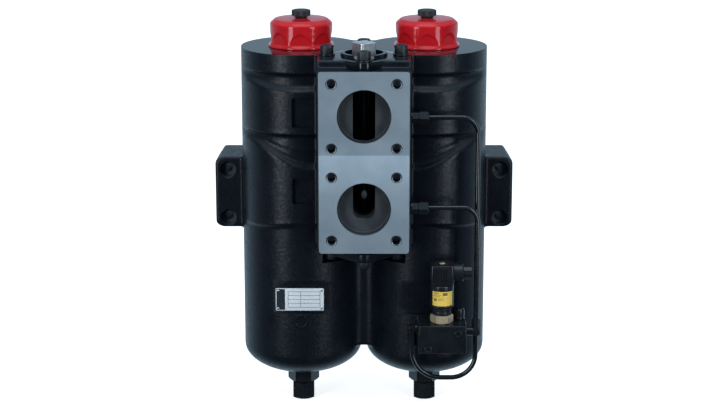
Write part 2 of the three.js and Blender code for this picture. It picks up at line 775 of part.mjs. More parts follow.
// Elbow on a side of the block; `side` -1 is the left one, and `up` 1 has its nut on top.
function blockElbow(side, y, up) {
  const face = side > 0 ? BLOCK.right + GAP : BLOCK.left - GAP;
  const x = side > 0 ? TUBES.run_x : TUBES.loop_x;
  const z = ELBOW_Z;
  const low = Math.min(face, x + side * 5);
  const high = Math.max(face, x + side * 5);
  const arm = alongX(y, z, 5.6, low, high, 8);
  const threadLow = Math.min(face - side * 8, face + side);
  const threadHigh = Math.max(face - side * 8, face + side);
  const thread = alongX(y, z, THREAD_R, threadLow, threadHigh, 12);
  const nutLow = up > 0 ? z - 4 : z - 21;
  const nutHigh = up > 0 ? z + 15 : z + 4;
  const nut = upright(x, y, 5.8, nutLow, nutHigh, 6);
  const mouthLow = up > 0 ? z + 6 : nutLow - 1;
  const mouthHigh = up > 0 ? nutHigh + 1 : z - 8;
  return cut(join(arm, thread, nut), upright(x, y, TUBE_SOCKET_R, mouthLow, mouthHigh, 12));
}

// A route of straight runs; each inner corner is rounded over its own length of bend.
function roundedRoute(points, bends) {
  const quarterCircle = 0.5523;
  const path = new THREE.CurvePath();
  let from = points[0];
  bends.forEach((bend, i) => {
    const corner = points[i + 1];
    const start = corner.clone().lerp(points[i], bend / corner.distanceTo(points[i]));
    const end = corner.clone().lerp(points[i + 2], bend / corner.distanceTo(points[i + 2]));
    const first = start.clone().lerp(corner, quarterCircle);
    const second = end.clone().lerp(corner, quarterCircle);
    path.add(new THREE.LineCurve3(from, start));
    path.add(new THREE.CubicBezierCurve3(start, first, second, end));
    from = end;
  });
  path.add(new THREE.LineCurve3(from, points[points.length - 1]));
  return path;
}

function upperTube() {
  const { y, z, start, bends } = TUBES.upper;
  const { run_x, loop_x, loop_z } = TUBES;
  const points = [
    new THREE.Vector3(start, y, z),
    new THREE.Vector3(run_x, y, z),
    new THREE.Vector3(run_x, y, loop_z),
    new THREE.Vector3(loop_x, y, loop_z),
    new THREE.Vector3(loop_x, y, ELBOW_Z - 9),
  ];
  return sweep(roundedRoute(points, bends), TUBE_R, 44);
}

function lowerTube() {
  const { y, z, start, bends } = TUBES.lower;
  const points = [
    new THREE.Vector3(start, y, z),
    new THREE.Vector3(TUBES.run_x, y, z),
    new THREE.Vector3(TUBES.run_x, y, ELBOW_Z + 7),
  ];
  return sweep(roundedRoute(points, bends), TUBE_R, 18);
}

// ---- assembly -----------------------------------------------------------------------
const design = new THREE.Group();
design.position.set(0, -CENTRE_Y, TOP_ABOVE_FLOOR);

function place(name, made, material) {
  const mesh = new THREE.Mesh(geometryOf(made), new THREE.MeshStandardMaterial(MATERIALS[material]));
  mesh.name = name;
  design.add(mesh);
}

place("housing", housing(), "black_paint");
place("valve_top_cover", valveTopCover(), "black_paint");
place("valve_bottom_cover", valveBottomCover(), "black_paint");
place("changeover_rotor", changeoverRotor(), "stainless");

const stemBush = join(
  ring(0, VALVE.y, ROTOR.stem_r + 0.35, ROTOR.stem_r + 3.3, -9, -3),
  ring(0, VALVE.y, ROTOR.stem_r + 0.35, COVER.recess_r - GAP, -4.7, -3),
);
place("stem_bush", stemBush, "bronze");
const lowerBush = ring(
  0,
  VALVE.y,
  ROTOR.journal_r + 0.35,
  ROTOR.journal_r + 3.3,
  BASE_COVER.bottom + 3.4,
  ROTOR.bottom - 1.5,
);
place("lower_bush", lowerBush, "bronze");
place("stem_seal", oRing(0, VALVE.y, -12, ROTOR.stem_r - 1, 1.1), "rubber");

const COVER_SIDES = ["front", "right", "back", "left"];
boltPlaces(COVER.bolt_circle).forEach(([x, y], i) => {
  const top = GAP + WASHER.thickness;
  place(`top_washer_${COVER_SIDES[i]}`, ring(x, y, COVER_SCREW.hole_r, WASHER.r, GAP, top), "black_steel");
  place(`top_cover_screw_${COVER_SIDES[i]}`, capScrew(x, y, top + GAP, COVER_SCREW), "black_steel");
});
boltPlaces(BASE_COVER.bolt_circle).forEach(([x, y], i) => {
  const under = BASE_COVER.bottom - GAP;
  place(`base_cover_screw_${COVER_SIDES[i]}`, capScrew(x, y, under, BASE_SCREW, -1), "black_steel");
});

for (const [name, side] of [["left", -1], ["right", 1]]) {
  const x = side * CHAMBER.x;
  place(`lid_${name}`, lid(side), "red_paint");
  place(`lid_seal_${name}`, oRing(x, 0, -3, 35, 1.1), "rubber");
  place(`vent_plug_${name}`, ventPlug(side), "black_plastic");
  place(`vent_seal_${name}`, ring(x, 0, 4.8, 7.5, 34.8, 35.8, 20), "rubber");
  place(`basket_${name}`, basket(side), "stainless");
  place(`basket_screen_${name}`, basketScreen(side), "stainless");
  place(`basket_bail_${name}`, basketBail(side), "stainless");
  place(`drain_adapter_${name}`, drainAdapter(side), "black_steel");
  place(`drain_seal_${name}`, ring(x, 0, 5.4, 10.5, -437.7, -436.3, 20), "nickel");
  place(`drain_plug_${name}`, drainPlug(side), "black_steel");
}

place("nameplate", nameplate(), "stainless");
const rivetX = PLATE.width / 2 - 3;
const rivetZ = PLATE.height / 2 - 3;
place("plate_rivet_1", rivet(-rivetX, rivetZ), "stainless");
place("plate_rivet_2", rivet(rivetX, rivetZ), "stainless");
place("plate_rivet_3", rivet(-rivetX, -rivetZ), "stainless");
place("plate_rivet_4", rivet(rivetX, -rivetZ), "stainless");

place("indicator_block", indicatorBlock(), "black_paint");
blockScrewPlaces().forEach((at, i) => {
  place(`block_screw_${i + 1}`, blockScrew(at), "black_steel");
});
place("indicator_stem", indicatorStem(), "nickel");
place("indicator_body", indicatorBody(), "black_plastic");
place("connector_hood", connectorHood(), "black_plastic");
place("connector_screw", connectorScrew(), "nickel");
place("gland_nut", glandNut(), "black_plastic");
place("blanking_plug", blankingPlug(), "black_steel");

place("gauge_fitting_upper", gaugeFitting(TUBES.upper), "black_steel");
place("gauge_fitting_lower", gaugeFitting(TUBES.lower), "black_steel");
place("block_elbow_left", blockElbow(-1, TUBES.upper.y, -1), "black_steel");
place("block_elbow_right", blockElbow(1, TUBES.lower.y, 1), "black_steel");
place("sensing_tube_upper", upperTube(), "black_steel");
place("sensing_tube_lower", lowerTube(), "black_steel");

export default design;
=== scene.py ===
"""Looks of the duplex basket strainer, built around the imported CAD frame."""

import math

import bmesh
import bpy
import numpy as np
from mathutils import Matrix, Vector


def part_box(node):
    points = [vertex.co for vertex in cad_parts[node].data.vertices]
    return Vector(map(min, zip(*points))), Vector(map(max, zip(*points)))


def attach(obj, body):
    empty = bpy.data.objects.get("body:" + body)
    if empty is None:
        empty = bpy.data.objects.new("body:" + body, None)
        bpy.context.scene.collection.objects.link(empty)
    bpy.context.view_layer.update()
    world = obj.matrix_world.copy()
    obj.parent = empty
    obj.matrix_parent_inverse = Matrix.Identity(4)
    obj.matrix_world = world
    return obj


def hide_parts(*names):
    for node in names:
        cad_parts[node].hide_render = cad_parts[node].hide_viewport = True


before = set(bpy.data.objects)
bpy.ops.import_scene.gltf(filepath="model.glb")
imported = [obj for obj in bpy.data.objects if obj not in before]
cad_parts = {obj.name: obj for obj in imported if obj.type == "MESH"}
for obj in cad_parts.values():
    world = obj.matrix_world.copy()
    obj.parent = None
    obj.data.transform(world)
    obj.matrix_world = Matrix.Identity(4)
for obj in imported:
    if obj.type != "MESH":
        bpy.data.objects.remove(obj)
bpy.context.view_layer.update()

# ---- places taken from the frame -----------------------------------------------------
# Shapes below are drawn in millimetres from the design's own origin: X = 0 on the middle
# plane, Y = 0 on the chambers' axes (+Y to the back) and Z = 0 on the chambers' top plane.
MM = 0.001


def node_middle(node):
    low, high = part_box(node)
    return (low + high) / 2


TOP_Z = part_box("housing")[1].z
AXIS_Y = node_middle("lid_left").y


def design_box(node):
    """Lowest and highest corner of a CAD node in design millimetres."""
    low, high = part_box(node)
    return [(p.x / MM, (p.y - AXIS_Y) / MM, (p.z - TOP_Z) / MM) for p in (low, high)]


HOUSING_LOW, HOUSING_HIGH = design_box("housing")
CHAMBER_X = node_middle("lid_right").x / MM
VALVE_Y = (node_middle("changeover_rotor").y - AXIS_Y) / MM
FLANGE_FRONT = HOUSING_LOW[1]
HOUSING_BOTTOM = HOUSING_LOW[2]

# ---- shape constants, in millimetres -------------------------------------------------
CHAMBER_R = 75.0
SIDE_BOTTOM = -384.0
RIM_BOTTOM = -24.0
GROOVE_R = 71.2
BELT_FRONT_R = 79.0
UPPER_BELT_BOTTOM = -99.0
CAVITY_R = 60.0
NECK_R = 36.5
LEDGE_TOP = -105.0
LEDGE_R = 33.0

VALVE_HALF = 57.0
VALVE_BOTTOM = -236.5
VALVE_BORE_R = 34.0
COVER_DROP = 9.5
COVER_REACH = 45.0
COVER_CORNER = 12.0
COLLAR_R = 28.1
RECESS_R = 23.4
BASE_REACH = 40.0
BASE_CORNER = 11.0
FLANGE_HALF = 54.3
FLANGE_TOP = -9.3
FLANGE_BOTTOM = -231.6
PORT_R = 31.75
PORT_Z = (-63.5, -176.8)
BOLT_HALF = 39.0
BOLT_R = 5.6
ROTOR_R = 33.5
STEM_R = 16.0
STEM_TURN = math.radians(-9.2)

FOOT_TOP = -143.0
FOOT_BOTTOM = -234.0
FOOT_FRONT = 2.0
FOOT_BACK = 76.98
FOOT_HOLE_X = 172.0
FOOT_HOLE_Z = (-159.5, -222.0)

WEB_ARC_Y = -50.6
WEB_ARC_R = 18.0
WEB_BOTTOM = -381.0

PLATE_FLAT_Y = -66.3
PLATE_FLAT_Z = (-327.0, -284.0)
POCKET_X = (-88.0, -62.0)
POCKET_Z = ((-88.0, -52.0), (-184.0, -152.0))
POCKET_FLOOR = -73.0
RING_BOSS = (-78.6, -336.0)

# Each port ends on a cast wall, and a tall window in it leads on to the valve bore.
PORT_WALL = -122.0
WINDOW_HALF = 13.4
WINDOW_CORNER = 9.5
WINDOW_Z = ((-103.0, -29.5), (-191.0, -135.0))

TUBE_R = 3.0
ELBOW_Z = -340.0
UPPER_BENDS = (21.0, 30.0, 35.0)
LOWER_BENDS = (18.0,)


# ---- mesh helpers --------------------------------------------------------------------
def mesh_object(name, verts, faces):
    """A mesh from design millimetres, with its doubles merged and its faces turned out."""
    places = np.asarray(verts, float) * MM + np.array((0.0, AXIS_Y, TOP_Z))
    mesh = bpy.data.meshes.new(name)
    mesh.from_pydata([tuple(v) for v in places], [], [tuple(f) for f in faces])
    bm = bmesh.new()
    bm.from_mesh(mesh)
    bmesh.ops.remove_doubles(bm, verts=bm.verts, dist=1e-7)
    bmesh.ops.recalc_face_normals(bm, faces=bm.faces)
    bm.to_mesh(mesh)
    bm.free()
    made = bpy.data.objects.new(name, mesh)
    bpy.context.scene.collection.objects.link(made)
    return made


def extruded(name, outline, low, high, axis="z"):
    """A closed prism of a 2-D outline, extruded along one design axis."""
    place = {
        "z": lambda u, v, w: (u, v, w),
        "y": lambda u, v, w: (u, w, v),
        "x": lambda u, v, w: (w, u, v),
    }[axis]
    count = len(outline)
    verts = [place(u, v, level) for level in (low, high) for u, v in outline]
    faces = [tuple(range(count)), tuple(range(2 * count - 1, count - 1, -1))]
    for i in range(count):
        j = (i + 1) % count
        faces.append((i, j, count + j, count + i))
    return mesh_object(name, verts, faces)


def block(name, x, y, z):
    outline = [(x[0], y[0]), (x[1], y[0]), (x[1], y[1]), (x[0], y[1])]
    return extruded(name, outline, z[0], z[1])


def rounded_rectangle(x0, x1, y0, y1, r, steps=6):
    outline = []
    corners = ((x1 - r, y1 - r), (x0 + r, y1 - r), (x0 + r, y0 + r), (x1 - r, y0 + r))
    for quarter, (cx, cy) in enumerate(corners):
        for i in range(steps + 1):
            t = (quarter + i / steps) * math.pi / 2
            outline.append((cx + r * math.cos(t), cy + r * math.sin(t)))
    return outline


def diamond(reach, r, steps=10):
    """A square on its corner about the valve's axis, with round corners."""
    outline = []
    for corner in range(4):
        middle = corner * math.pi / 2
        cx = reach * math.cos(middle)
        cy = VALVE_Y + reach * math.sin(middle)
        for i in range(steps + 1):
            t = middle + (i / steps - 0.5) * math.pi / 2
            outline.append((cx + r * math.cos(t), cy + r * math.sin(t)))
    return outline


def lathe(name, profile, at=(0.0, 0.0), count=64, shape=None, axis="z"):
    """A solid of revolution. The profile is a list of (radius, height along the axis) from
    one end to the other, or a closed loop if it starts off the axis. shape(row, angle, r, h),
    where given, returns each point's own radius and height; angle 0 faces the front."""
    place = {
        "z": lambda s, c, h: (at[0] + s, at[1] - c, h),
        "y": lambda s, c, h: (at[0] + s, h, at[1] - c),
        "x": lambda s, c, h: (h, at[0] - c, at[1] + s),
    }[axis]
    verts, rings = [], []
    for row, (r, h) in enumerate(profile):
        if r < 1e-9:
            rings.append([len(verts)] * count)
            verts.append(place(0.0, 0.0, h))
            continue
        rings.append(list(range(len(verts), len(verts) + count)))
        for i in range(count):
            angle = 2 * math.pi * i / count
            own_r, own_h = shape(row, angle, r, h) if shape else (r, h)
            verts.append(place(own_r * math.sin(angle), own_r * math.cos(angle), own_h))
    pairs = list(zip(rings, rings[1:]))
    if profile[0][0] > 1e-9:
        pairs.append((rings[-1], rings[0]))
    faces = []
    for lower, upper in pairs:
        for i in range(count):
            j = (i + 1) % count
            corners = [lower[i], lower[j], upper[j], upper[i]]
            face = [v for k, v in enumerate(corners) if v != corners[k - 1]]
            if len(face) > 2:
                faces.append(face)
    return mesh_object(name, verts, faces)


def cylinder(name, r, low, high, at=(0.0, 0.0), axis="z", count=48):
    return lathe(name, [(0, low), (r, low), (r, high), (0, high)], at, count, None, axis)


def rounded(points, steps=4):
    """A profile with its corners rounded; each point is (radius, height, fillet). A profile
    that starts off the axis is a closed loop."""
    closed = points[0][0] > 1e-9
    out = []
    for i, (r, h, fillet) in enumerate(points):
        if fillet <= 0 or (not closed and i in (0, len(points) - 1)):
            out.append((r, h))
            continue
        here = Vector((r, h))
        before = Vector(points[i - 1][:2]) - here
        after = Vector(points[(i + 1) % len(points)][:2]) - here
        reach = min(fillet, before.length * 0.49, after.length * 0.49)
        start = here + before.normalized() * reach
        end = here + after.normalized() * reach
        for k in range(steps + 1):
            t = k / steps
            p = start * (1 - t) ** 2 + here * 2 * t * (1 - t) + end * t ** 2
            out.append((p.x, p.y))
    return out


def polygon_r(sides, r, angle, turn=0.0):
    """Distance to the edge of a regular polygon whose corners are at radius r."""
    half = math.pi / sides
    return r * math.cos(half) / math.cos((angle - turn) % (2 * half) - half)


def nut(name, r, low, high, at, axis="z", turn=0.0, bore=0.0, ends=(1, 1), sides=6, count=72):
    """A polygon bar with corners at radius r, its marked ends chamfered as a nut's are."""
    flat = r * math.cos(math.pi / sides)
    rows = [(bore, low), (flat - 0.4, low), (r, low), (r, high), (flat - 0.4, high), (bore, high)]

    def shape(row, angle, own_r, h):
        if row in (0, 5) or own_r == flat - 0.4:
            return own_r, h
        edge = polygon_r(sides, r, angle, turn)
        drop = (edge - flat + 0.4) * 0.5
        if row == 2:
            return edge, h + (drop if ends[0] else 0.0)
        return edge, h - (drop if ends[1] else 0.0)

    return lathe(name, rows, at, count, shape, axis)


def apply_modifiers(made):
    graph = bpy.context.evaluated_depsgraph_get()
    mesh = bpy.data.meshes.new_from_object(made.evaluated_get(graph))
    made.modifiers.clear()
    old = made.data
    made.data = mesh
    bpy.data.meshes.remove(old)
    return made


def remove(*objects):
    for o in objects:
        mesh = o.data
        bpy.data.objects.remove(o)
        bpy.data.meshes.remove(mesh)


def combined(name, objects):
    """One object that holds the meshes of several, which are removed."""
    bm = bmesh.new()
    for o in objects:
        bm.from_mesh(o.data)
    mesh = bpy.data.meshes.new(name)
    bm.to_mesh(mesh)
    bm.free()
    remove(*objects)
    made = bpy.data.objects.new(name, mesh)
    bpy.context.scene.collection.objects.link(made)
    return made


def boolean(made, others, operation="DIFFERENCE"):
    for other in others:
        modifier = made.modifiers.new("boolean", "BOOLEAN")
        modifier.operation = operation
        modifier.object = other
        modifier.solver = "MANIFOLD"
        apply_modifiers(made)
    remove(*others)
    return made


def joined(name, objects):
    made = boolean(objects[0], objects[1:], "UNION")
    made.name = name
    return made


def softened(made, width, segments=3, angle=32):
    """Bevels the sharp edges of a cut solid."""
    bm = bmesh.new()
    bm.from_mesh(made.data)
    bmesh.ops.remove_doubles(bm, verts=bm.verts, dist=2e-6)
    flat = math.radians(0.6)
    bmesh.ops.dissolve_limit(bm, angle_limit=flat, verts=bm.verts, edges=bm.edges)
    bm.to_mesh(made.data)
    bm.free()
    modifier = made.modifiers.new("bevel", "BEVEL")
    modifier.width = width * MM
    modifier.segments = segments
    modifier.limit_method = "ANGLE"
    modifier.angle_limit = math.radians(angle)
    return apply_modifiers(made)


def piece(made, body, materials, replaces=(), angle=34):
    """Shades and dresses a finished mesh, and ties it to its CAD body."""
    bm = bmesh.new()
    bm.from_mesh(made.data)
    limit = math.radians(angle)
    for face in bm.faces:
        face.smooth = True
    for edge in bm.edges:
        edge.smooth = len(edge.link_faces) == 2 and edge.calc_face_angle(0.0) < limit
    bm.to_mesh(made.data)
    bm.free()
    made.data.materials.clear()
    for material in materials if isinstance(materials, (list, tuple)) else [materials]:
        made.data.materials.append(material)
    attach(made, body)
    if replaces:
        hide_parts(*([replaces] if isinstance(replaces, str) else replaces))
    return made


def tube(name, points, r, sides=20):
    """A round wire or pipe along a list of points, closed at both ends."""
    path = [Vector(p) for p in points]
    count = len(path)
    tangents = []
    for i in range(count):
        tangents.append((path[min(i + 1, count - 1)] - path[max(i - 1, 0)]).normalized())
    side = tangents[0].orthogonal().normalized()
    verts = []
    for i, (p, t) in enumerate(zip(path, tangents)):
        side = (side - t * side.dot(t)).normalized()
        across = t.cross(side)
        for k in range(sides):
            a = 2 * math.pi * k / sides
            verts.append(p + (side * math.cos(a) + across * math.sin(a)) * r)
    faces = [tuple(range(sides)), tuple(range(len(verts) - 1, len(verts) - sides - 1, -1))]
    for i in range(count - 1):
        for k in range(sides):
            j = (k + 1) % sides
            a, b = i * sides, (i + 1) * sides
            faces.append((a + k, a + j, b + j, b + k))
    return mesh_object(name, verts, faces)


def rounded_route(corners, bends, steps=14):
    """Points along straight runs whose inner corners are rounded over the given lengths."""
    points = [Vector(corners[0])]
    for i, bend in enumerate(bends, 1):
        corner = Vector(corners[i])
        before = (corner - Vector(corners[i - 1])).normalized() * bend
        after = (Vector(corners[i + 1]) - corner).normalized() * bend
        for k in range(steps + 1):
            t = k / steps * math.pi / 2
            points.append(corner - before * (1 - math.sin(t)) + after * (1 - math.cos(t)))
    points.append(Vector(corners[-1]))
    return points


# ---- materials -----------------------------------------------------------------------
def surface(name, base, other, rough, metallic=0.0, level=0.5, coat=0.0, coarse=(300, 0.08),
            fine=(1600, 0.015), stretch=(1, 1, 1), blotch=45):
    """A procedural finish: two tones in blotches, uneven gloss, and two grains of relief
    given as (grains per metre, depth in millimetres). `stretch` draws the grain out."""
    made = bpy.data.materials.new(name)
    made.use_nodes = True
    tree = made.node_tree
    tree.nodes.clear()
    new, link = tree.nodes.new, tree.links.new
    out = new("ShaderNodeOutputMaterial")
    shader = new("ShaderNodeBsdfPrincipled")
    link(shader.outputs["BSDF"], out.inputs["Surface"])
    coords = new("ShaderNodeTexCoord")
    mapping = new("ShaderNodeMapping")
    mapping.inputs["Scale"].default_value = stretch
    link(coords.outputs["Object"], mapping.inputs["Vector"])

    def noise(scale, detail, vector):
        texture = new("ShaderNodeTexNoise")
        texture.inputs["Scale"].default_value = scale
        texture.inputs["Detail"].default_value = detail
        link(vector, texture.inputs["Vector"])
        return texture.outputs["Fac"]

    def ranged(value, low, high, to_low, to_high):
        node = new("ShaderNodeMapRange")
        node.inputs["From Min"].default_value = low
        node.inputs["From Max"].default_value = high
        node.inputs["To Min"].default_value = to_low
        node.inputs["To Max"].default_value = to_high
        link(value, node.inputs["Value"])
        return node.outputs["Result"]

    blotches = noise(blotch, 5, coords.outputs["Object"])
    mix = new("ShaderNodeMix")
    mix.data_type = "RGBA"
    mix.inputs["A"].default_value = (*base, 1)
    mix.inputs["B"].default_value = (*other, 1)
    link(ranged(blotches, 0.35, 0.65, 0, 1), mix.inputs["Factor"])
    link(mix.outputs["Result"], shader.inputs["Base Color"])
    grain = noise(coarse[0], 3, mapping.outputs["Vector"])
    link(ranged(grain, 0.3, 0.7, *rough), shader.inputs["Roughness"])
    normal = None
    for scale, depth in (coarse, fine):
        if depth <= 0:
            continue
        bump = new("ShaderNodeBump")
        bump.inputs["Strength"].default_value = 1.0
        bump.inputs["Distance"].default_value = depth * MM
        link(grain if scale == coarse[0] else noise(scale, 2, mapping.outputs["Vector"]),
             bump.inputs["Height"])
        if normal:
            link(normal, bump.inputs["Normal"])
        normal = bump.outputs["Normal"]
    if normal:
        link(normal, shader.inputs["Normal"])
    shader.inputs["Metallic"].default_value = metallic
    shader.inputs["Specular IOR Level"].default_value = level
    shader.inputs["Coat Weight"].default_value = coat
    shader.inputs["Coat Roughness"].default_value = 0.04
    return made


CAST_PAINT = surface("cast_paint", (0.0035, 0.0052, 0.0092), (0.006, 0.0085, 0.0140),
                     (0.26, 0.42), level=0.24, coarse=(260, 0.20), fine=(1000, 0.11))
TOP_PAINT = surface("smooth_paint", (0.005, 0.007, 0.010), (0.008, 0.011, 0.015),
                    (0.08, 0.14), level=0.28, coarse=(220, 0.012), fine=(900, 0.006))
INNER_PAINT = surface("inner_casting", (0.03, 0.035, 0.04), (0.05, 0.055, 0.06),
                      (0.5, 0.7), level=0.3, coarse=(300, 0.15), fine=(1200, 0.05))
MILLED = surface("milled_face", (0.42, 0.52, 0.60), (0.52, 0.61, 0.69), (0.42, 0.58),
                 metallic=0.40, coarse=(900, 0.012), fine=(2600, 0.008), stretch=(0.25, 1, 1.2),
                 blotch=28)


def painted_face_shading(material):
    """Paints light and shade on the flange's face by height: brightest just below the middle, darker towards
    the bottom, with a step to darker above.
    """
    tree = material.node_tree
    shader = next(n for n in tree.nodes if n.type == "BSDF_PRINCIPLED")
    colour = shader.inputs["Base Color"].links[0].from_socket
    coords = next(n for n in tree.nodes if n.type == "TEX_COORD")
    split = tree.nodes.new("ShaderNodeSeparateXYZ")
    tree.links.new(coords.outputs["Object"], split.inputs["Vector"])
    place = tree.nodes.new("ShaderNodeMapRange")
    place.inputs["From Min"].default_value = TOP_Z + FLANGE_BOTTOM * MM
    place.inputs["From Max"].default_value = TOP_Z + FLANGE_TOP * MM
    tree.links.new(split.outputs["Z"], place.inputs["Value"])
    ramp = tree.nodes.new("ShaderNodeValToRGB")
    tree.links.new(place.outputs["Result"], ramp.inputs["Fac"])
    steps = [((z - FLANGE_BOTTOM) / (FLANGE_TOP - FLANGE_BOTTOM), v) for z, v in FACE_LIGHT_AND_SHADE]
    for _ in steps[2:]:
        ramp.color_ramp.elements.new(0.5)
    for element, (position, value) in zip(ramp.color_ramp.elements, steps):
        element.position = position
    for element, (position, value) in zip(ramp.color_ramp.elements, steps):
        element.color = (value, value, value, 1)
    mix = tree.nodes.new("ShaderNodeMix")
    mix.data_type = "RGBA"
    mix.blend_type = "MULTIPLY"
    mix.inputs["Factor"].default_value = 1.0
    tree.links.new(colour, mix.inputs["A"])
    tree.links.new(ramp.outputs["Color"], mix.inputs["B"])
    tree.links.new(mix.outputs["Result"], shader.inputs["Base Color"])


# (height, brightness) up the flange's face: painted light and shade, brightest just below the middle, with a
# step to darker above.
FACE_LIGHT_AND_SHADE = (
    (-231.6, 0.60), (-195.0, 0.62), (-160.0, 0.72), (-135.0, 0.90), (-112.0, 1.0), (-110.8, 1.0),
    (-110.4, 0.66), (-80.0, 0.60), (-9.3, 0.60),
)
# Paints light and shade up the milled flange's face by height.
painted_face_shading(MILLED)
BORED = surface("bored_wall", (0.045, 0.055, 0.065), (0.075, 0.085, 0.095), (0.35, 0.5),
                metallic=0.6, coarse=(500, 0.01), fine=(2200, 0.01), stretch=(1, 6, 1))
HOLE = surface("tapped_hole", (0.10, 0.115, 0.13), (0.16, 0.18, 0.20), (0.30, 0.42),
               metallic=0.85, coarse=(800, 0.03), stretch=(1, 5, 1))
FOOT_HOLE = surface("foot_hole", (0.035, 0.042, 0.050), (0.055, 0.064, 0.074), (0.45, 0.6),
                    level=0.3, coarse=(500, 0.05))
RED = surface("red_enamel", (0.56, 0.008, 0.014), (0.62, 0.011, 0.017), (0.10, 0.16),
              level=0.32, coarse=(160, 0.01), fine=(900, 0.003))
PLASTIC = surface("black_plastic", (0.010, 0.0115, 0.014), (0.018, 0.020, 0.023), (0.42, 0.6),
                  level=0.45, coarse=(1100, 0.03), fine=(3000, 0.012))
SMOOTH_PLASTIC = surface("smooth_plastic", (0.007, 0.008, 0.010), (0.012, 0.013, 0.016),
                         (0.26, 0.38), level=0.45, coarse=(700, 0.008), fine=(2500, 0.004))
BLACK_STEEL = surface("black_oxide", (0.020, 0.024, 0.029), (0.040, 0.046, 0.053),
                      (0.26, 0.42), metallic=0.75, coarse=(900, 0.012), fine=(2600, 0.006))
BLACK_FITTING = surface("black_fitting", (0.008, 0.010, 0.013), (0.016, 0.019, 0.024),
                        (0.20, 0.32), metallic=0.3, level=0.5, coarse=(260, 0.008), fine=(1500, 0.005))
TUBE_PAINT = surface("tube_paint", (0.005, 0.006, 0.009), (0.008, 0.010, 0.014),
                     (0.10, 0.17), level=0.6, coarse=(150, 0.006), fine=(900, 0.002))
DRUM_STEEL = surface("drum_steel", (0.016, 0.019, 0.022), (0.030, 0.034, 0.038), (0.34, 0.5),
                     metallic=0.6, coarse=(700, 0.01), stretch=(1, 1, 5))
STEM_STEEL = surface("stem_steel", (0.50, 0.53, 0.55), (0.66, 0.69, 0.70), (0.26, 0.42),
                     metallic=0.85, coarse=(700, 0.03), stretch=(1, 1, 0.3))
RED_MARK = surface("red_mark", (0.52, 0.02, 0.03), (0.62, 0.04, 0.05), (0.35, 0.5))
STAINLESS = surface("stainless", (0.50, 0.52, 0.53), (0.58, 0.60, 0.61), (0.22, 0.36),
                    metallic=0.95, coarse=(600, 0.01), stretch=(1, 1, 4))
PLATE = surface("plate_metal", (0.84, 0.88, 0.91), (0.90, 0.93, 0.95), (0.32, 0.45),
                metallic=0.1, coarse=(900, 0.006), stretch=(0.2, 1, 1.5))
PLATE_INK = surface("plate_ink", (0.012, 0.016, 0.022), (0.020, 0.026, 0.034), (0.4, 0.5))
NICKEL = surface("nickel_brass", (0.60, 0.46, 0.30), (0.70, 0.56, 0.38), (0.24, 0.38),
                 metallic=0.45, coarse=(500, 0.01))
LABEL = surface("yellow_label", (0.97, 0.62, 0.09), (1.0, 0.67, 0.12), (0.30, 0.42),
                coarse=(600, 0.004), fine=(2500, 0.002))
LABEL_INK = surface("label_ink", (0.16, 0.12, 0.04), (0.22, 0.16, 0.06), (0.35, 0.5))
RUBBER = surface("seal_rubber", (0.012, 0.012, 0.013), (0.02, 0.02, 0.021), (0.55, 0.7),
                 level=0.4, coarse=(900, 0.01))
COPPER = surface("copper_seal", (0.60, 0.28, 0.16), (0.68, 0.34, 0.20), (0.28, 0.4),
                 metallic=0.95, coarse=(700, 0.01))
BRONZE = surface("bronze", (0.50, 0.33, 0.14), (0.58, 0.39, 0.18), (0.3, 0.42),
                 metallic=0.95, coarse=(600, 0.01), stretch=(1, 1, 4))


# ---- housing -------------------------------------------------------------------------
def smoothstep(low, high, value):
    t = min(max((value - low) / (high - low), 0.0), 1.0)
    return t * t * (3 - 2 * t)


def upper_belt_top(a):
    return -30 - 9 * (1 - smoothstep(5, 70, abs(a)))


def lower_belt_top(a):
    return -104 - 31 * (1 - smoothstep(-12, 55, a))


def lower_belt_bottom(a):
    return -210 - 7.5 * smoothstep(-15, 60, abs(a))


def groove_r(a, fade_from, fade_to):
    return GROOVE_R + (CHAMBER_R - GROOVE_R) * smoothstep(fade_from, fade_to, abs(a))


def belt_r(a):
    return CHAMBER_R + (BELT_FRONT_R - CHAMBER_R) * (1 - smoothstep(20, 85, abs(a)))


def bead(z, middle, half):
    return math.exp(-((z - middle) / half) ** 2)


def chamber_outline(a, step=0.9):
    """(radius, height) from above the chamber's top to its side's foot, at angle a from the
    front: rim, groove, upper belt, waist with its thin ridge, lower belt, plain side."""
    upper_groove = groove_r(a, 45, 80)
    waist = groove_r(a, 40, 85)
    belt = belt_r(a)
    proud = (belt - CHAMBER_R) / (BELT_FRONT_R - CHAMBER_R)
    first, second, lip = upper_belt_top(a), lower_belt_top(a), lower_belt_bottom(a)
    ridge = 0.9 * (1 - smoothstep(60, 100, abs(a)))
    ridge_z = (UPPER_BELT_BOTTOM + second) / 2 - 1
    points = []
    for z in np.arange(4.0, SIDE_BOTTOM, -step):
        if z > (first + RIM_BOTTOM) / 2:
            r = CHAMBER_R + (upper_groove - CHAMBER_R) * smoothstep(0.8, -1.0, z - RIM_BOTTOM)
            r += 0.5 * bead(z, RIM_BOTTOM + 1.6, 1.4) * (1 - smoothstep(60, 90, abs(a)))
        elif z > UPPER_BELT_BOTTOM + 6:
            r = upper_groove + (belt - upper_groove) * smoothstep(first + 2, first - 7, z)
        elif z > (second + UPPER_BELT_BOTTOM) / 2:
            r = belt + (waist - belt) * smoothstep(0.9, -0.9, z - UPPER_BELT_BOTTOM)
            r += 0.8 * proud * bead(z, UPPER_BELT_BOTTOM + 2.0, 1.6)
            r += ridge * bead(z, ridge_z, 1.4)
        elif z > lip + 8:
            r = waist + (belt - waist) * smoothstep(second + 2, second - 8, z)
            r += ridge * bead(z, ridge_z, 1.4)
        else:
            r = belt + (CHAMBER_R - belt) * smoothstep(1.3, -1.3, z - lip)
            r += 0.7 * proud * bead(z, lip + 2.6, 1.8)
        points.append((r, z))
    return points


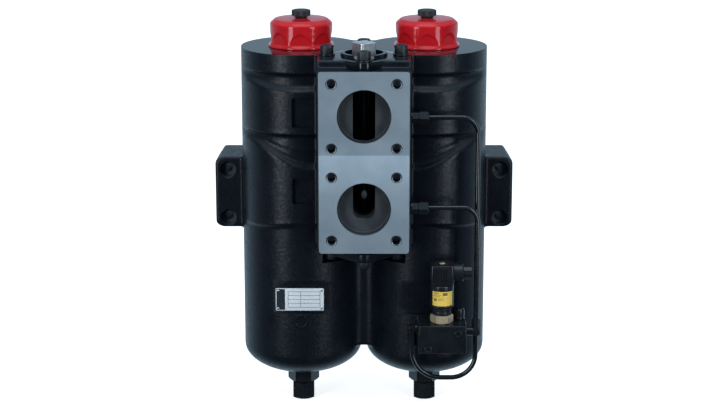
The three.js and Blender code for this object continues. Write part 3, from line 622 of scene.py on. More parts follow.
def chamber_solid(side):
    """One chamber's outside, with its cast belts, down to its domed foot."""
    count = 200
    angles = [2 * math.pi * i / count for i in range(count)]
    outlines = [chamber_outline(math.degrees(p if p <= math.pi else p - 2 * math.pi)) for p in angles]
    side_rows = len(outlines[0])
    dome_rows = 26
    verts, rings = [], []
    for row in range(side_rows + dome_rows):
        rings.append(range(len(verts), len(verts) + count))
        for phi, outline in zip(angles, outlines):
            if row < side_rows:
                r, z = outline[row]
            else:
                t = (row - side_rows + 1) / (dome_rows + 1) * math.pi / 2
                r = CHAMBER_R * math.cos(t)
                z = SIDE_BOTTOM - (SIDE_BOTTOM - HOUSING_BOTTOM) * math.sin(t)
            verts.append((side * (CHAMBER_X + r * math.sin(phi)), -r * math.cos(phi), z))
    faces = [tuple(rings[0]), tuple(reversed(rings[-1]))]
    for upper, lower in zip(rings, rings[1:]):
        for i in range(count):
            j = (i + 1) % count
            faces.append((upper[i], upper[j], lower[j], lower[i]))
    return mesh_object("chamber", verts, faces)


def foot_solid(side):
    """A side foot's outside, tapering to the back, with rounded corners."""
    x_low, x_high = 120.0, HOUSING_HIGH[0]
    plan = [(x_low, FOOT_FRONT), (x_high, FOOT_FRONT), (x_high - 7.5, FOOT_BACK), (x_low, FOOT_BACK)]
    body = extruded("foot", [(side * x, y) for x, y in plan], FOOT_BOTTOM, FOOT_TOP)
    corners = rounded_rectangle(x_low - 20, x_high + 1, FOOT_BOTTOM - 1e-3, FOOT_TOP + 1e-3, 12, 8)
    corners = [(side * x, z) for x, z in corners]
    face = extruded("foot_face", corners, FOOT_FRONT - 5, FOOT_BACK + 5, "y")
    return boolean(body, [face], "INTERSECT")


def web_outline(steps=24):
    """The web's plan: its front is an arc that runs into both chambers."""
    edge = math.acos(CHAMBER_X / (CHAMBER_R + WEB_ARC_R))
    outline = [(26, -30), (26, 40), (-26, 40), (-26, -30)]
    for k in range(steps + 1):
        t = math.pi - edge + (2 * edge - math.pi) * k / steps
        outline.append((WEB_ARC_R * math.cos(t), WEB_ARC_Y + WEB_ARC_R * math.sin(t)))
    return outline


def housing_casting():
    """The rough casting: overlapping solids merged and softened into one skin."""
    parts = [chamber_solid(side) for side in (-1, 1)]
    parts += [
        extruded("web", web_outline(), WEB_BOTTOM, 4),
        block("front_web", (-26, 26), (-60, -16), (VALVE_BOTTOM, 4)),
        block("valve", (-VALVE_HALF, VALVE_HALF), (-112, -30), (VALVE_BOTTOM, 0)),
        block("flange", (-FLANGE_HALF, FLANGE_HALF), (FLANGE_FRONT - 5, -100), (FLANGE_BOTTOM, FLANGE_TOP)),
    ]
    for side in (-1, 1):
        parts.append(foot_solid(side))
        parts.append(cylinder("boss", 17, HOUSING_BOTTOM, -400, (side * CHAMBER_X, 0), count=64))
    low, high = design_box("indicator_block")
    parts.append(block("pad", (low[0] + 2, high[0] - 2), (high[1] + 0.3, -50), (low[2] + 2, high[2] - 2)))
    skin = combined("housing_body", parts)
    modifier = skin.modifiers.new("skin", "REMESH")
    modifier.mode = "VOXEL"
    modifier.voxel_size = 1.7 * MM
    apply_modifiers(skin)
    modifier = skin.modifiers.new("soften", "SMOOTH")
    modifier.factor = 0.5
    modifier.iterations = 6
    apply_modifiers(skin)
    ring = lathe("ring_boss", rounded([
        (6.4, -70, 0), (6.4, -75.9, 0.3), (6.9, -76.3, 0.3), (8.6, -76.3, 0.5), (9.0, -75.4, 0.4),
        (9.0, -70, 0),
    ]), RING_BOSS, 64, None, "y")
    return boolean(skin, [ring], "UNION")


def cavity_profile():
    return rounded([
        (0, 6, 0), (NECK_R, 6, 0), (NECK_R, -26, 1), (CAVITY_R, -38, 4), (CAVITY_R, LEDGE_TOP, 1),
        (LEDGE_R, LEDGE_TOP, 1), (LEDGE_R, -116, 1), (CAVITY_R, -126, 4), (CAVITY_R, -378, 12),
        (48, -397, 10), (0, -405, 0),
    ])


def passages(side):
    """The cored ways from the valve bore to one chamber: upper one in, lower one out."""
    aim = math.atan2(-VALVE_Y, CHAMBER_X)
    made = []
    for z in (PORT_Z[0] - 5, PORT_Z[1] + 3):
        corners = []
        for along, across in ((19, -20), (88, -20), (88, 20), (19, 20)):
            x = along * math.cos(aim) - across * math.sin(aim)
            y = along * math.sin(aim) + across * math.cos(aim)
            corners.append((side * x, VALVE_Y + y))
        made.append(extruded("passage", corners, z - 23, z + 23))
    return made


def square_places(reach):
    """Right, back, left and front of the valve's axis."""
    return [(reach, VALVE_Y), (0, VALVE_Y + reach), (-reach, VALVE_Y), (0, VALVE_Y - reach)]


def tube_start(tube_node):
    """(y, z) of the axis on which a sensing tube leaves its fitting."""
    low, high = design_box(tube_node)
    return (low[1] + high[1]) / 2, high[2] - TUBE_R


def housing_cutters():
    """Groups of machined cuts. Cuts within a group don't touch each other."""
    depth = FLANGE_FRONT + 18
    bolt_hole = [
        (0, FLANGE_FRONT - 1), (BOLT_R + 2.3, FLANGE_FRONT - 1), (BOLT_R + 0.3, FLANGE_FRONT + 1),
        (BOLT_R - 0.5, FLANGE_FRONT + 1.2), (BOLT_R - 0.5, depth), (0, depth + 2),
    ]
    foot_bore = [
        (0, FOOT_FRONT - 3), (11.3, FOOT_FRONT - 3), (11.3, FOOT_FRONT - 0.4), (10.2, FOOT_FRONT + 0.8),
        (10.2, FOOT_FRONT + 13), (5.5, FOOT_FRONT + 13), (5.5, FOOT_BACK + 3), (0, FOOT_BACK + 3),
    ]
    port = [
        (0, FLANGE_FRONT - 4), (PORT_R + 1, FLANGE_FRONT - 4), (PORT_R + 1, FLANGE_FRONT - 0.2),
        (PORT_R, FLANGE_FRONT + 0.8), (PORT_R, PORT_WALL - 1.5), (PORT_R - 1.5, PORT_WALL), (0, PORT_WALL),
    ]
    flat_y = (-110.0, PLATE_FLAT_Y)
    first = [
        block("top", (-260, 260), (-220, 160), (0.0, 40.0)),
        block("face", (-260, 260), (-220, FLANGE_FRONT), (-300, -4)),
        block("plate_flat", (-200, 0), flat_y, PLATE_FLAT_Z),
        block("right_flat", (42, 114), flat_y, PLATE_FLAT_Z),
        extruded("base_seat", diamond(BASE_REACH, BASE_CORNER + 0.5), -262, VALVE_BOTTOM),
    ]
    second = [
        cylinder("bore", VALVE_BORE_R, VALVE_BOTTOM - 2, 3, (0, VALVE_Y), count=112),
    ]
    third = [extruded("seat", diamond(COVER_REACH, COVER_CORNER + 0.4, 14), -COVER_DROP - 0.3, 6)]
    fourth = []
    for z in PORT_Z:
        third.append(lathe("port", port, (0, z), 112, None, "y"))
        for x in (-BOLT_HALF, BOLT_HALF):
            second.append(lathe("bolt_hole", bolt_hole, (x, z + BOLT_HALF), 32, None, "y"))
            second.append(lathe("bolt_hole", bolt_hole, (x, z - BOLT_HALF), 32, None, "y"))
    for low, high in WINDOW_Z:
        outline = rounded_rectangle(-WINDOW_HALF, WINDOW_HALF, low, high, WINDOW_CORNER, 10)
        fourth.append(extruded("window", outline, PORT_WALL - 1, -95, "y"))
    for low, high in POCKET_Z:
        outline = rounded_rectangle(*POCKET_X, low, high, 2.5)
        first.append(extruded("pocket", outline, -95, POCKET_FLOOR, "y"))
    for side in (-1, 1):
        second.append(lathe("cavity", cavity_profile(), (side * CHAMBER_X, 0), 96))
        third.append(cylinder("drain", 8.5, HOUSING_BOTTOM - 4, -395, (side * CHAMBER_X, 0)))
        fourth += passages(side)
        for z in FOOT_HOLE_Z:
            first.append(lathe("foot_bore", foot_bore, (side * FOOT_HOLE_X, z), 40, None, "y"))
    fourth += [cylinder("screw_hole", 5.4, -26, 2, at, count=32) for at in square_places(COVER_REACH)]
    third += [cylinder("screw_hole", 4.4, -240, -214, at, count=32) for at in square_places(BASE_REACH)]
    for tube_node in ("sensing_tube_upper", "sensing_tube_lower"):
        second.append(cylinder("thread", 4.6, 47, 60, tube_start(tube_node), "x"))
    return first, second, third, fourth


MOST_TRIANGLES = 180000


def build_housing():
    skin = housing_casting()
    for group in housing_cutters():
        boolean(skin, [combined("cuts", group)])
    triangles = sum(len(face.vertices) - 2 for face in skin.data.polygons)
    if triangles > MOST_TRIANGLES:
        modifier = skin.modifiers.new("lighten", "DECIMATE")
        modifier.ratio = MOST_TRIANGLES / triangles
        apply_modifiers(skin)
    front = AXIS_Y + FLANGE_FRONT * MM
    near = 0.0002
    for face in skin.data.polygons:
        c, n = face.center, face.normal
        x = abs(c.x) / MM
        y = (c.y - AXIS_Y) / MM
        z = (c.z - TOP_Z) / MM
        port_r = min(math.hypot(x, z - p) for p in PORT_Z)
        bolt_r = min(math.hypot(x - BOLT_HALF, abs(z - p) - BOLT_HALF) for p in PORT_Z)
        chamber_r = math.hypot(x - CHAMBER_X, y)
        foot_r = min(math.hypot(x - FOOT_HOLE_X, z - hole) for hole in FOOT_HOLE_Z)
        index = 0
        if abs(c.z - TOP_Z) < near and n.z > 0.9:
            index = 1
        elif abs(c.y - front) < near and n.y < -0.9:
            index = 2
        elif y < PORT_WALL - 1.6 and port_r < PORT_R + 1.2:
            index = 3
        elif y < -104 and x < PORT_R and port_r < 46:
            index = 5
        elif y < FLANGE_FRONT + 21 and bolt_r < BOLT_R + 2.5:
            index = 4
        elif math.hypot(x, y - VALVE_Y) < VALVE_BORE_R + 0.3 and z > VALVE_BOTTOM:
            index = 3
        elif chamber_r < CAVITY_R + 0.5 and -404 < z < -0.1:
            index = 5
        elif y > FOOT_FRONT + 1 and foot_r < 10.6:
            index = 6
        face.material_index = index
    finishes = [CAST_PAINT, TOP_PAINT, MILLED, BORED, HOLE, INNER_PAINT, FOOT_HOLE]
    indices = [face.material_index for face in skin.data.polygons]
    piece(skin, "root", finishes, "housing", 42)
    skin.data.polygons.foreach_set("material_index", indices)
    return skin


build_housing()


# ---- change-over valve ---------------------------------------------------------------
def valve_covers():
    top = extruded("valve_cover", diamond(COVER_REACH, COVER_CORNER), -COVER_DROP, 0)
    top = softened(top, 0.7)
    ring = lathe("collar", rounded([
        (RECESS_R, -5, 0), (RECESS_R, 3.5, 0.6), (COLLAR_R, 3.5, 0.8), (COLLAR_R + 0.8, -2, 0),
        (VALVE_BORE_R - 0.4, -3, 0), (VALVE_BORE_R - 0.4, -14, 0.8), (STEM_R + 3.6, -14, 0.5),
        (STEM_R + 3.6, -5, 0),
    ]), (0, VALVE_Y), 96)
    hole = cylinder("hole", RECESS_R + 2, -20, 20, (0, VALVE_Y), count=96)
    top = boolean(top, [hole])
    top = joined("valve_cover", [top, ring])
    places = square_places(COVER_REACH)
    holes = [cylinder("hole", 5.4, -20, 5, at, count=32) for at in places]
    top = boolean(top, [combined("holes", holes)])
    piece(top, "root", TOP_PAINT, "valve_top_cover")

    low, high = -247.5, -236.8
    base = extruded("base_cover", diamond(BASE_REACH, BASE_CORNER), low, high)
    base = softened(base, 0.7)
    spigot = cylinder("spigot", VALVE_BORE_R - 0.4, high - 2, -233, (0, VALVE_Y), count=96)
    base = joined("base_cover", [base, spigot])
    holes = [cylinder("hole", 4.5, low - 2, -230, at, count=32) for at in square_places(BASE_REACH)]
    holes.append(cylinder("hole", 12.3, low + 3, -230, (0, VALVE_Y), count=48))
    base = boolean(base, [combined("holes", holes)])
    piece(base, "root", CAST_PAINT, "valve_bottom_cover")


def cap_screw(name, node, at, seat, head_r, head, shank_r, shank, up=1):
    """Socket-head screw on `seat`; up -1 hangs it head down."""
    socket = head_r * 0.6
    rows = [
        (0, -shank, ""), (shank_r - 0.8, -shank, ""), (shank_r, -shank + 1, ""), (shank_r, 0, ""),
        (head_r - 0.2, 0, ""), (head_r, 0.3, "k"), (head_r, head - 1.1, "k"), (head_r - 0.3, head - 0.5, ""),
        (head_r - 1.0, head, ""), (socket + 0.7, head, "s"), (socket, head - 0.7, "s"),
        (socket, head * 0.45, "s"), (0, head * 0.35, ""),
    ]
    count = 144

    def shape(row, angle, r, h):
        if rows[row][2] == "k":
            return r - 0.28 * abs(((angle * 36 / (2 * math.pi)) % 1) * 2 - 1), h
        if rows[row][2] == "s":
            return polygon_r(6, r, angle, 0.3), h
        return r, h

    made = lathe(name, [(r, seat + up * h) for r, h, _ in rows], at, count, shape)
    piece(made, "root", BLACK_STEEL, node)


def valve_screws():
    names = ("right", "back", "left", "front")
    for name, at in zip(names, square_places(COVER_REACH)):
        node = f"top_cover_screw_{name}"
        cap_screw(f"top_screw_{name}", node, at, 2.4, 8, 10, 5, 26)
        flat_ring(f"washer_{name}", "root", BLACK_STEEL, f"top_washer_{name}", at,
                  5.4, 10, 0.3, 2.1)
    for name, at in zip(names, square_places(BASE_REACH)):
        node = f"base_cover_screw_{name}"
        cap_screw(f"base_screw_{name}", node, at, -247.8, 6.5, 8, 4, 27, up=-1)


def node_height(node):
    return design_box(node)[1][2]


def rotor():
    at = (0, VALVE_Y)
    drum = lathe("rotor", rounded([
        (0, -232, 0), (ROTOR_R, -232, 0.8), (ROTOR_R, -15, 0.8), (STEM_R, -15, 0), (STEM_R, -13.4, 0),
        (STEM_R - 2.8, -13.4, 0.3), (STEM_R - 2.8, -10.6, 0.3), (STEM_R, -10.6, 0), (STEM_R, -2, 0.5),
        (0, -2, 0),
    ]), at, 128)
    slots = []
    for low, high in ((-112, -28), (-191, -127)):
        outline = rounded_rectangle(-13.9, 13.9, low, high, 13.8, 12)
        slots.append(extruded("slot", outline, VALVE_Y - 36, VALVE_Y + 36, "y"))
    drum = boolean(drum, [combined("slots", slots)])
    shaft = cylinder("shaft", 4.2, -195, -20, at, count=32)
    journal = lathe("journal", rounded([
        (0, -243.6, 0), (9, -243.6, 0.8), (9, -231, 0), (0, -231, 0)]), at, 48)
    corner_r, chamfer_r = 15.6, 14.5
    top = node_height("changeover_rotor")

    def square(row, angle, r, h):
        if r < 10:
            return r, h
        return min(polygon_r(4, corner_r, angle, STEM_TURN), chamfer_r) - (chamfer_r - r), h

    rows = [(0, -3), (14.5, -3), (14.5, top - 0.8), (13.9, top - 0.2), (13.2, top), (6.0, top), (0, top)]
    stem = lathe("stem", rows, at, 180, square)
    made = joined("change_over_rotor", [drum, shaft, journal, stem])
    indices = []
    for face in made.data.polygons:
        z = (face.center.z - TOP_Z) / MM
        indices.append(1 if z > -2.1 else 0)
    piece(made, "changeover_body", [DRUM_STEEL, STEM_STEEL], "changeover_rotor", 30)
    made.data.polygons.foreach_set("material_index", indices)
    outline = []
    steps = 8
    for inner in (True, False):
        for k in range(steps + 1):
            t = k / steps if inner else 1 - k / steps
            a = STEM_TURN + (-0.14 + 0.30 * t) * (1.6 if inner else 1.0)
            reach = 8.0 if inner else min(polygon_r(4, corner_r, a, STEM_TURN), chamfer_r) - 0.9
            outline.append((reach * math.sin(a), VALVE_Y - reach * math.cos(a)))
    leaf = [(0, -179), (3.0, -176.5), (3.9, -172.5), (3.0, -168.5), (0.6, -166), (-2.4, -169),
            (-3.6, -173), (-2.6, -177)]
    tip = extruded("shaft_tip", leaf, VALVE_Y - 5.4, VALVE_Y - 3.2, "y")
    piece(softened(tip, 0.5, 2), "changeover_body", STEM_STEEL)
    mark = extruded("position_mark", outline, top - 0.3, top + 0.12)
    piece(mark, "changeover_body", RED_MARK)


def seal(name, body, finish, node, at, major, minor, z):
    circle_steps = 12
    profile = []
    for i in range(circle_steps):
        t = 2 * math.pi * i / circle_steps
        profile.append((major + minor * math.cos(t), z + minor * math.sin(t)))
    piece(lathe(name, profile, at, 72), body, finish, node, 80)


def flat_ring(name, body, finish, node, at, inner, outer, low, high):
    profile = [(inner, low, 0.3), (outer, low, 0.3), (outer, high, 0.3), (inner, high, 0.3)]
    piece(lathe(name, rounded(profile), at, 72), body, finish, node)


def valve_bushes():
    at = (0, VALVE_Y)
    bush = lathe("stem_bearing", rounded([
        (STEM_R + 0.35, -9, 0.3), (STEM_R + 3.3, -9, 0.3), (STEM_R + 3.3, -4.7, 0.2),
        (RECESS_R - 0.3, -4.7, 0.2), (RECESS_R - 0.3, -3, 0.3), (STEM_R + 0.35, -3, 0.3),
    ]), at, 96)
    piece(bush, "root", DRUM_STEEL, "stem_bush")
    flat_ring("foot_bearing", "root", BRONZE, "lower_bush", at, 9.35, 12.3, -244.1, -233.5)
    seal("stem_o_ring", "root", RUBBER, "stem_seal", at, STEM_R - 1, 1.1, -12)


# ---- chambers' fittings --------------------------------------------------------------
def lid(name, side):
    """Screwed cap with eight hand scallops round its side and a hollow inside."""
    outer = rounded([
        (5, 25, 0.5), (5, 34.5, 0.3), (10, 34.5, 0.2), (10.2, 34.2, 0), (32.8, 34.2, 1.2), (38.9, 29, 2.2),
        (38.7, 22, 0), (38.7, 14, 0), (39.1, 6, 0), (41, 2.2, 0.8), (41, 0.3, 0.3), (35.8, 0.3, 0),
        (35.8, -1.6, 0.2), (33.4, -1.6, 0.3), (33.4, -4.4, 0.3), (35.8, -4.4, 0.2),
    ])
    sides = []
    for r, z in outer:
        if sides and sides[-1][0] > 38 and r > 38 and abs(z - sides[-1][1]) > 1.6:
            before = sides[-1]
            parts = math.ceil(abs(z - before[1]) / 1.0)
            for k in range(1, parts):
                t = k / parts
                sides.append((before[0] + (r - before[0]) * t, before[1] + (z - before[1]) * t))
        sides.append((r, z))
    thread = []
    z = -6.0
    while z > -15.5:
        thread += [(35.8, z), (35.8, z - 0.5), (34.7, z - 1.5), (34.7, z - 2.0)]
        z -= 3.0
    profile = sides + thread + [(35.8, -16.5), (34.6, -18), (30, -18), (30, 24.5), (29.5, 25)]

    def scallops(row, angle, r, h):
        if r < 30.5 or h < 0.5:
            return r, h
        hollow = math.cos(4 * angle) ** 2
        arch = 7 + 12 * hollow ** 0.55
        share = smoothstep(arch + 1.2, arch - 1.8, h) * smoothstep(0.4, 5.5, h)
        return r - 1.8 * hollow ** 0.8 * share, h

    return lathe(name, profile, (side * CHAMBER_X, 0), 256, scallops)


def vent_plug(name, side):
    rows = [
        (0, 26, 0), (4.3, 26, 0), (4.5, 26.6, 0), (4.5, 36.1, 0), (8.2, 36.1, 0), (8.4, 36.3, 0),
        (8.4, 37.4, 0), (11.0, 37.4, 0), (11.65, 38.0, 1), (11.65, 43.7, 1), (11.2, 44.4, 1),
        (10.2, 44.8, 0), (7.5, 44.8, 0), (7.3, 44.55, 0), (0, 44.55, 0),
    ]

    def knurl(row, angle, r, h):
        if not rows[row][2]:
            return r, h
        return r - 0.35 * abs(((angle * 40 / (2 * math.pi)) % 1) * 2 - 1), h

    return lathe(name, [row[:2] for row in rows], (side * CHAMBER_X, 0), 160, knurl)


def basket_tube(name, side):
    at = (side * CHAMBER_X, 0)
    rim = LEDGE_TOP + 0.3
    made = lathe(name, rounded([
        (0, -380, 0), (31, -380, 1), (31, rim, 0.4), (35.6, rim, 0.5), (35.6, rim + 3.5, 0.8),
        (29.8, rim + 3.5, 0.5), (29.8, -378.5, 1), (0, -378.5, 0),
    ]), at, 128)
    for turn in range(3):
        a = turn * math.pi / 3
        windows = []
        for low in (-366, -238):
            outline = rounded_rectangle(-10, 10, low, low + 116, 6, 6)
            window = extruded("window", outline, -40, 40, "y")
            for v in window.data.vertices:
                x, y = v.co.x, v.co.y - AXIS_Y
                v.co.x = x * math.cos(a) - y * math.sin(a) + at[0] * MM
                v.co.y = x * math.sin(a) + y * math.cos(a) + AXIS_Y
            windows.append(window)
        boolean(made, [combined("windows", windows)])
    return made


def basket_screen(name, side):
    """Perforated sheet: a rolled honeycomb, each cell with a six-sided hole."""
    r = 29.3
    across = 24
    pitch = 2 * math.pi * r / across
    rise = pitch * math.sqrt(3) / 2
    low, high = -378.0, LEDGE_TOP - 1.2
    rows = int((high - low - pitch * 0.6) / rise)
    drop = (high - low - (rows - 1) * rise) / 2
    verts, faces = [], []
    for row in range(rows):
        z = low + drop + row * rise
        for i in range(across):
            u = (i + (row % 2) / 2) * pitch
            start = len(verts)
            for scale in (1.0, 0.66):
                for k in range(6):
                    t = math.pi / 6 + k * math.pi / 3
                    radius = pitch / math.sqrt(3) * scale
                    a = (u + radius * math.cos(t)) / r
                    x = side * CHAMBER_X + r * math.sin(a)
                    verts.append((x, -r * math.cos(a), z + radius * math.sin(t)))
            for k in range(6):
                j = (k + 1) % 6
                faces.append((start + k, start + j, start + 6 + j, start + 6 + k))
    made = mesh_object(name, verts, faces)
    bm = bmesh.new()
    bm.from_mesh(made.data)
    bmesh.ops.remove_doubles(bm, verts=bm.verts, dist=5e-5)
    bm.to_mesh(made.data)
    bm.free()
    modifier = made.modifiers.new("thickness", "SOLIDIFY")
    modifier.thickness = 0.5 * MM
    modifier.offset = 0
    return apply_modifiers(made)


def basket_bail(name, side):
    x = side * CHAMBER_X
    low, high = design_box(f"basket_bail_{name[5:]}")
    foot, top, reach = low[2] + 0.2, high[2] - 2.0, 26.0
    points = [(x - 32, 0, foot), (x - reach, 0, top - 26)]
    for k in range(1, 24):
        t = math.pi * k / 24
        points.append((x - reach * math.cos(t), 0, top - 26 + 26 * math.sin(t)))
    points += [(x + reach, 0, top - 26), (x + 32, 0, foot)]
    return tube(name, points, 2.0, 16)


def chamber_fittings(name, side):
    at = (side * CHAMBER_X, 0)
    piece(lid(f"cap_{name}", side), f"lid_{name}_body", RED, f"lid_{name}", 30)
    seal(f"cap_seal_{name}", f"lid_{name}_seal_body", RUBBER,
         f"lid_seal_{name}", at, 35, 1.1, -3)
    piece(vent_plug(f"vent_{name}", side), f"vent_{name}_body", PLASTIC,
          f"vent_plug_{name}", 28)
    flat_ring(f"vent_ring_{name}", f"vent_{name}_seal_body", RUBBER,
              f"vent_seal_{name}", at, 4.8, 7.5, 34.8, 35.8)
    body = f"basket_{name}_body"
    piece(basket_tube(f"strainer_{name}", side), body, STAINLESS, f"basket_{name}")
    piece(basket_screen(f"screen_{name}", side), body, STAINLESS,
          f"basket_screen_{name}", 60)
    piece(basket_bail(f"bail_{name}", side), body, STAINLESS, f"basket_bail_{name}", 50)

    adapter_low, adapter_high = -436.0, -420.4
    adapter = nut(f"adapter_{name}", 20, adapter_low, adapter_high, at, turn=math.pi / 6, ends=(1, 0))
    spigot = cylinder("spigot", 8, adapter_high - 3, -404, at)
    adapter = joined(f"adapter_{name}", [adapter, spigot])
    adapter = boolean(adapter, [cylinder("bore", 5.6, -440, -400, at)])
    piece(adapter, "root", BLACK_FITTING, f"drain_adapter_{name}")
    flat_ring(f"drain_ring_{name}", f"drain_{name}_seal_body", COPPER,
              f"drain_seal_{name}", at, 5.4, 10.5, -437.7, -436.3)
    plug = nut(f"drain_{name}", 15.6, design_box(f"drain_plug_{name}")[0][2], -438, at)
    thread = [(0, -439)]
    z = -438.5
    while z < -424.5:
        thread += [(5.0, z), (5.0, z + 0.4), (4.5, z + 0.9), (4.5, z + 1.2)]
        z += 1.5
    thread += [(4.6, -422.6), (4.2, -422), (0, -422)]
    plug = joined(f"drain_{name}", [plug, lathe("thread", thread, at, 48)])
    piece(plug, f"drain_{name}_body", BLACK_FITTING, f"drain_plug_{name}")


# ---- nameplate -----------------------------------------------------------------------
def nameplate():
    low, high = design_box("nameplate")
    x0, x1, z0, z1 = low[0], high[0], low[2], high[2]
    face, back = low[1], high[1]
    plate = extruded("plate", rounded_rectangle(x0, x1, z0, z1, 1.5, 5), face, back, "y")
    plate = softened(plate, 0.2, 2)
    piece(plate, "root", PLATE, "nameplate")
    printed = []
    inked = (face - 0.05, face + 0.05)

    def bar(ax, bx, az, bz):
        printed.append(block("ink", (x0 + ax, x0 + bx), inked, (z1 - bz, z1 - az)))

    bar(1.0, 11.6, 1.0, 28.0)
    rows = (4.2, 9.2, 14.2, 19.2, 24.6)
    for z in rows:
        bar(15.2, 55.4, z, z + 0.45)
    for x in (15.2, 31.0, 54.95):
        for upper, lower in zip(rows, rows[1:]):
            bar(x, x + 0.45, upper + 0.5, lower - 0.05)
    ink = combined("plate_print", printed)
    piece(ink, "root", PLATE_INK)
    for number in (1, 2, 3, 4):
        node = f"plate_rivet_{number}"
        low, high = design_box(node)
        at = ((low[0] + high[0]) / 2, (low[2] + high[2]) / 2)
        r = (high[0] - low[0]) / 2
        rows = [(0, high[1])]
        rows += [(r, high[1] - 0.05), (r, high[1] - 0.25)]
        rows += [(r * math.cos(t), high[1] - 0.25 - 0.6 * math.sin(t)) for t in (0.35, 0.7, 1.05, 1.35)]
        rows.append((0, high[1] - 0.86))
        piece(lathe(f"rivet_{number}", rows, at, 32, None, "y"), "root", STAINLESS, node, 60)


# ---- differential pressure indicator -------------------------------------------------
def indicator_block():
    low, high = design_box("indicator_block")
    made = block("manifold_block", (low[0], high[0]), (low[1], high[1]), (low[2], high[2]))
    made = softened(made, 1.0, 3)
    stem = node_middle("indicator_stem")
    at = (stem.x / MM, (stem.y - AXIS_Y) / MM)
    plug = node_middle("blanking_plug")
    holes = [cylinder("hole", 8.6, high[2] - 16, high[2] + 2, at)]
    holes.append(cylinder("hole", 4.6, high[2] - 5, high[2] + 2, (plug.x / MM, (plug.y - AXIS_Y) / MM)))
    for number in (1, 2):
        screw = node_middle(f"block_screw_{number}")
        at_screw = (screw.x / MM, (screw.z - TOP_Z) / MM)
        holes.append(cylinder("hole", 3.4, low[1] - 1, high[1] + 1, at_screw, "y", 32))
    made = boolean(made, [combined("holes", holes)])
    elbows = []
    for node, x0, x1 in (("block_elbow_left", low[0] - 1, low[0] + 10),
                         ("block_elbow_right", high[0] - 10, high[0] + 1)):
        middle = node_middle(node)
        y = (middle.y - AXIS_Y) / MM
        elbows.append(cylinder("hole", 4.6, x0, x1, (y, ELBOW_Z), "x", 32))
    made = boolean(made, [combined("holes", elbows)])
    piece(made, "root", BLACK_FITTING, "indicator_block")

    for number in (1, 2):
        node = f"block_screw_{number}"
        screw_low, screw_high = design_box(node)
        at = ((screw_low[0] + screw_high[0]) / 2, (screw_low[2] + screw_high[2]) / 2)
        seat = low[1] - 0.3
        rows = [
            (0, screw_high[1], 0), (3, screw_high[1], 0), (3, seat, 0), (5.0, seat, 0), (5.0, seat - 0.3, 1),
            (5.0, seat - 2.8, 1), (4.7, seat - 3.3, 0), (4.2, seat - 3.5, 0), (3.3, seat - 3.5, 2),
            (2.8, seat - 3.0, 2), (2.8, seat - 1.4, 2), (0, seat - 1.1, 0),
        ]

        def knurl(row, angle, r, h, rows=rows):
            if rows[row][2] == 1:
                return r - 0.2 * abs(((angle * 24 / (2 * math.pi)) % 1) * 2 - 1), h
            if rows[row][2] == 2:
                return polygon_r(6, r, angle, 0.2), h
            return r, h

        made = lathe(f"manifold_screw_{number}", [row[:2] for row in rows], at, 96, knurl, "y")
        piece(made, "root", BLACK_STEEL, node, 30)


def blanking_plug():
    low, high = design_box("blanking_plug")
    at = ((low[0] + high[0]) / 2, (low[1] + high[1]) / 2)
    seat = design_box("indicator_block")[1][2] + 0.3
    profile = rounded([
        (0, low[2], 0), (4.3, low[2], 0.3), (4.3, seat, 0), (6.8, seat, 0.3), (6.8, seat + 3, 0.4),
        (6.3, seat + 3.4, 0.2), (6.3, seat + 4.2, 0.2), (6.8, seat + 4.6, 0.4), (6.8, high[2] - 2.5, 1.8),
        (4.6, high[2] - 0.2, 1.6), (0, high[2], 0),
    ])
    piece(lathe("test_plug", profile, at, 64), "root", BLACK_FITTING, "blanking_plug", 50)


def indicator():
    low, high = design_box("indicator_body")
    at = ((low[0] + high[0]) / 2, (low[1] + high[1]) / 2)
    seat = design_box("indicator_block")[1][2] + 0.3
    neck, bottom, top = low[2], low[2] + 9.5, high[2]
    hexagon = nut("indicator_foot", 14.2, seat, seat + 10.2, at, turn=math.pi / 6, ends=(1, 1))
    spigot = lathe("spigot", rounded([
        (0, seat - 15, 0), (8.3, seat - 15, 0.6), (8.3, seat + 1, 0), (0, seat + 1, 0)]), at, 64)
    piece(joined("indicator_foot", [hexagon, spigot]), "root", NICKEL, "indicator_stem")

    barrel = lathe("indicator_barrel", rounded([
        (0, neck, 0), (12.0, neck, 0.4), (12.2, neck + 3.4, 0.3), (11.5, neck + 3.8, 0.2),
        (11.5, neck + 5.2, 0.2), (12.2, neck + 5.6, 0.3), (12.2, bottom - 0.6, 0.2), (13.7, bottom, 0.4),
        (14.7, bottom + 1.1, 0.5), (14.7, bottom + 3.4, 0.2),
        (14.45, bottom + 3.6, 0.1), (14.45, top - 6.4, 0.1), (14.7, top - 6.2, 0.2), (14.7, top - 1, 0.5),
        (14, top, 0.3), (0, top, 0),
    ]), at, 128)
    piece(barrel, "root", SMOOTH_PLASTIC, "indicator_body")

    def wrap(name, r, a0, a1, z0, z1, thickness, steps):
        outline = []
        for radius, order in ((r, range(steps + 1)), (r + thickness, range(steps, -1, -1))):
            for k in order:
                a = math.radians(a0 + (a1 - a0) * k / steps)
                outline.append((at[0] + radius * math.sin(a), at[1] - radius * math.cos(a)))
        return extruded(name, outline, z0, z1)

    label = wrap("indicator_label", 14.44, -54, 57, bottom + 3.8, top - 6.6, 0.14, 40)
    piece(label, "root", LABEL)
    marks = []
    for a0, a1, z0, z1 in ((-44, -18, -7.9, -8.9), (-44, -6, -10.4, -10.9), (-44, -12, -12.0, -12.5),
                           (2, 26, -7.7, -11.4), (-44, 30, -14.1, -14.5), (-44, -28, -15.6, -18.4),
                           (-22, 4, -15.8, -16.3), (-22, 12, -17.3, -17.8)):
        marks.append(wrap("mark", 14.5, a0, a1, top + z1, top + z0, 0.12, 8))
    piece(combined("label_print", marks), "root", LABEL_INK)


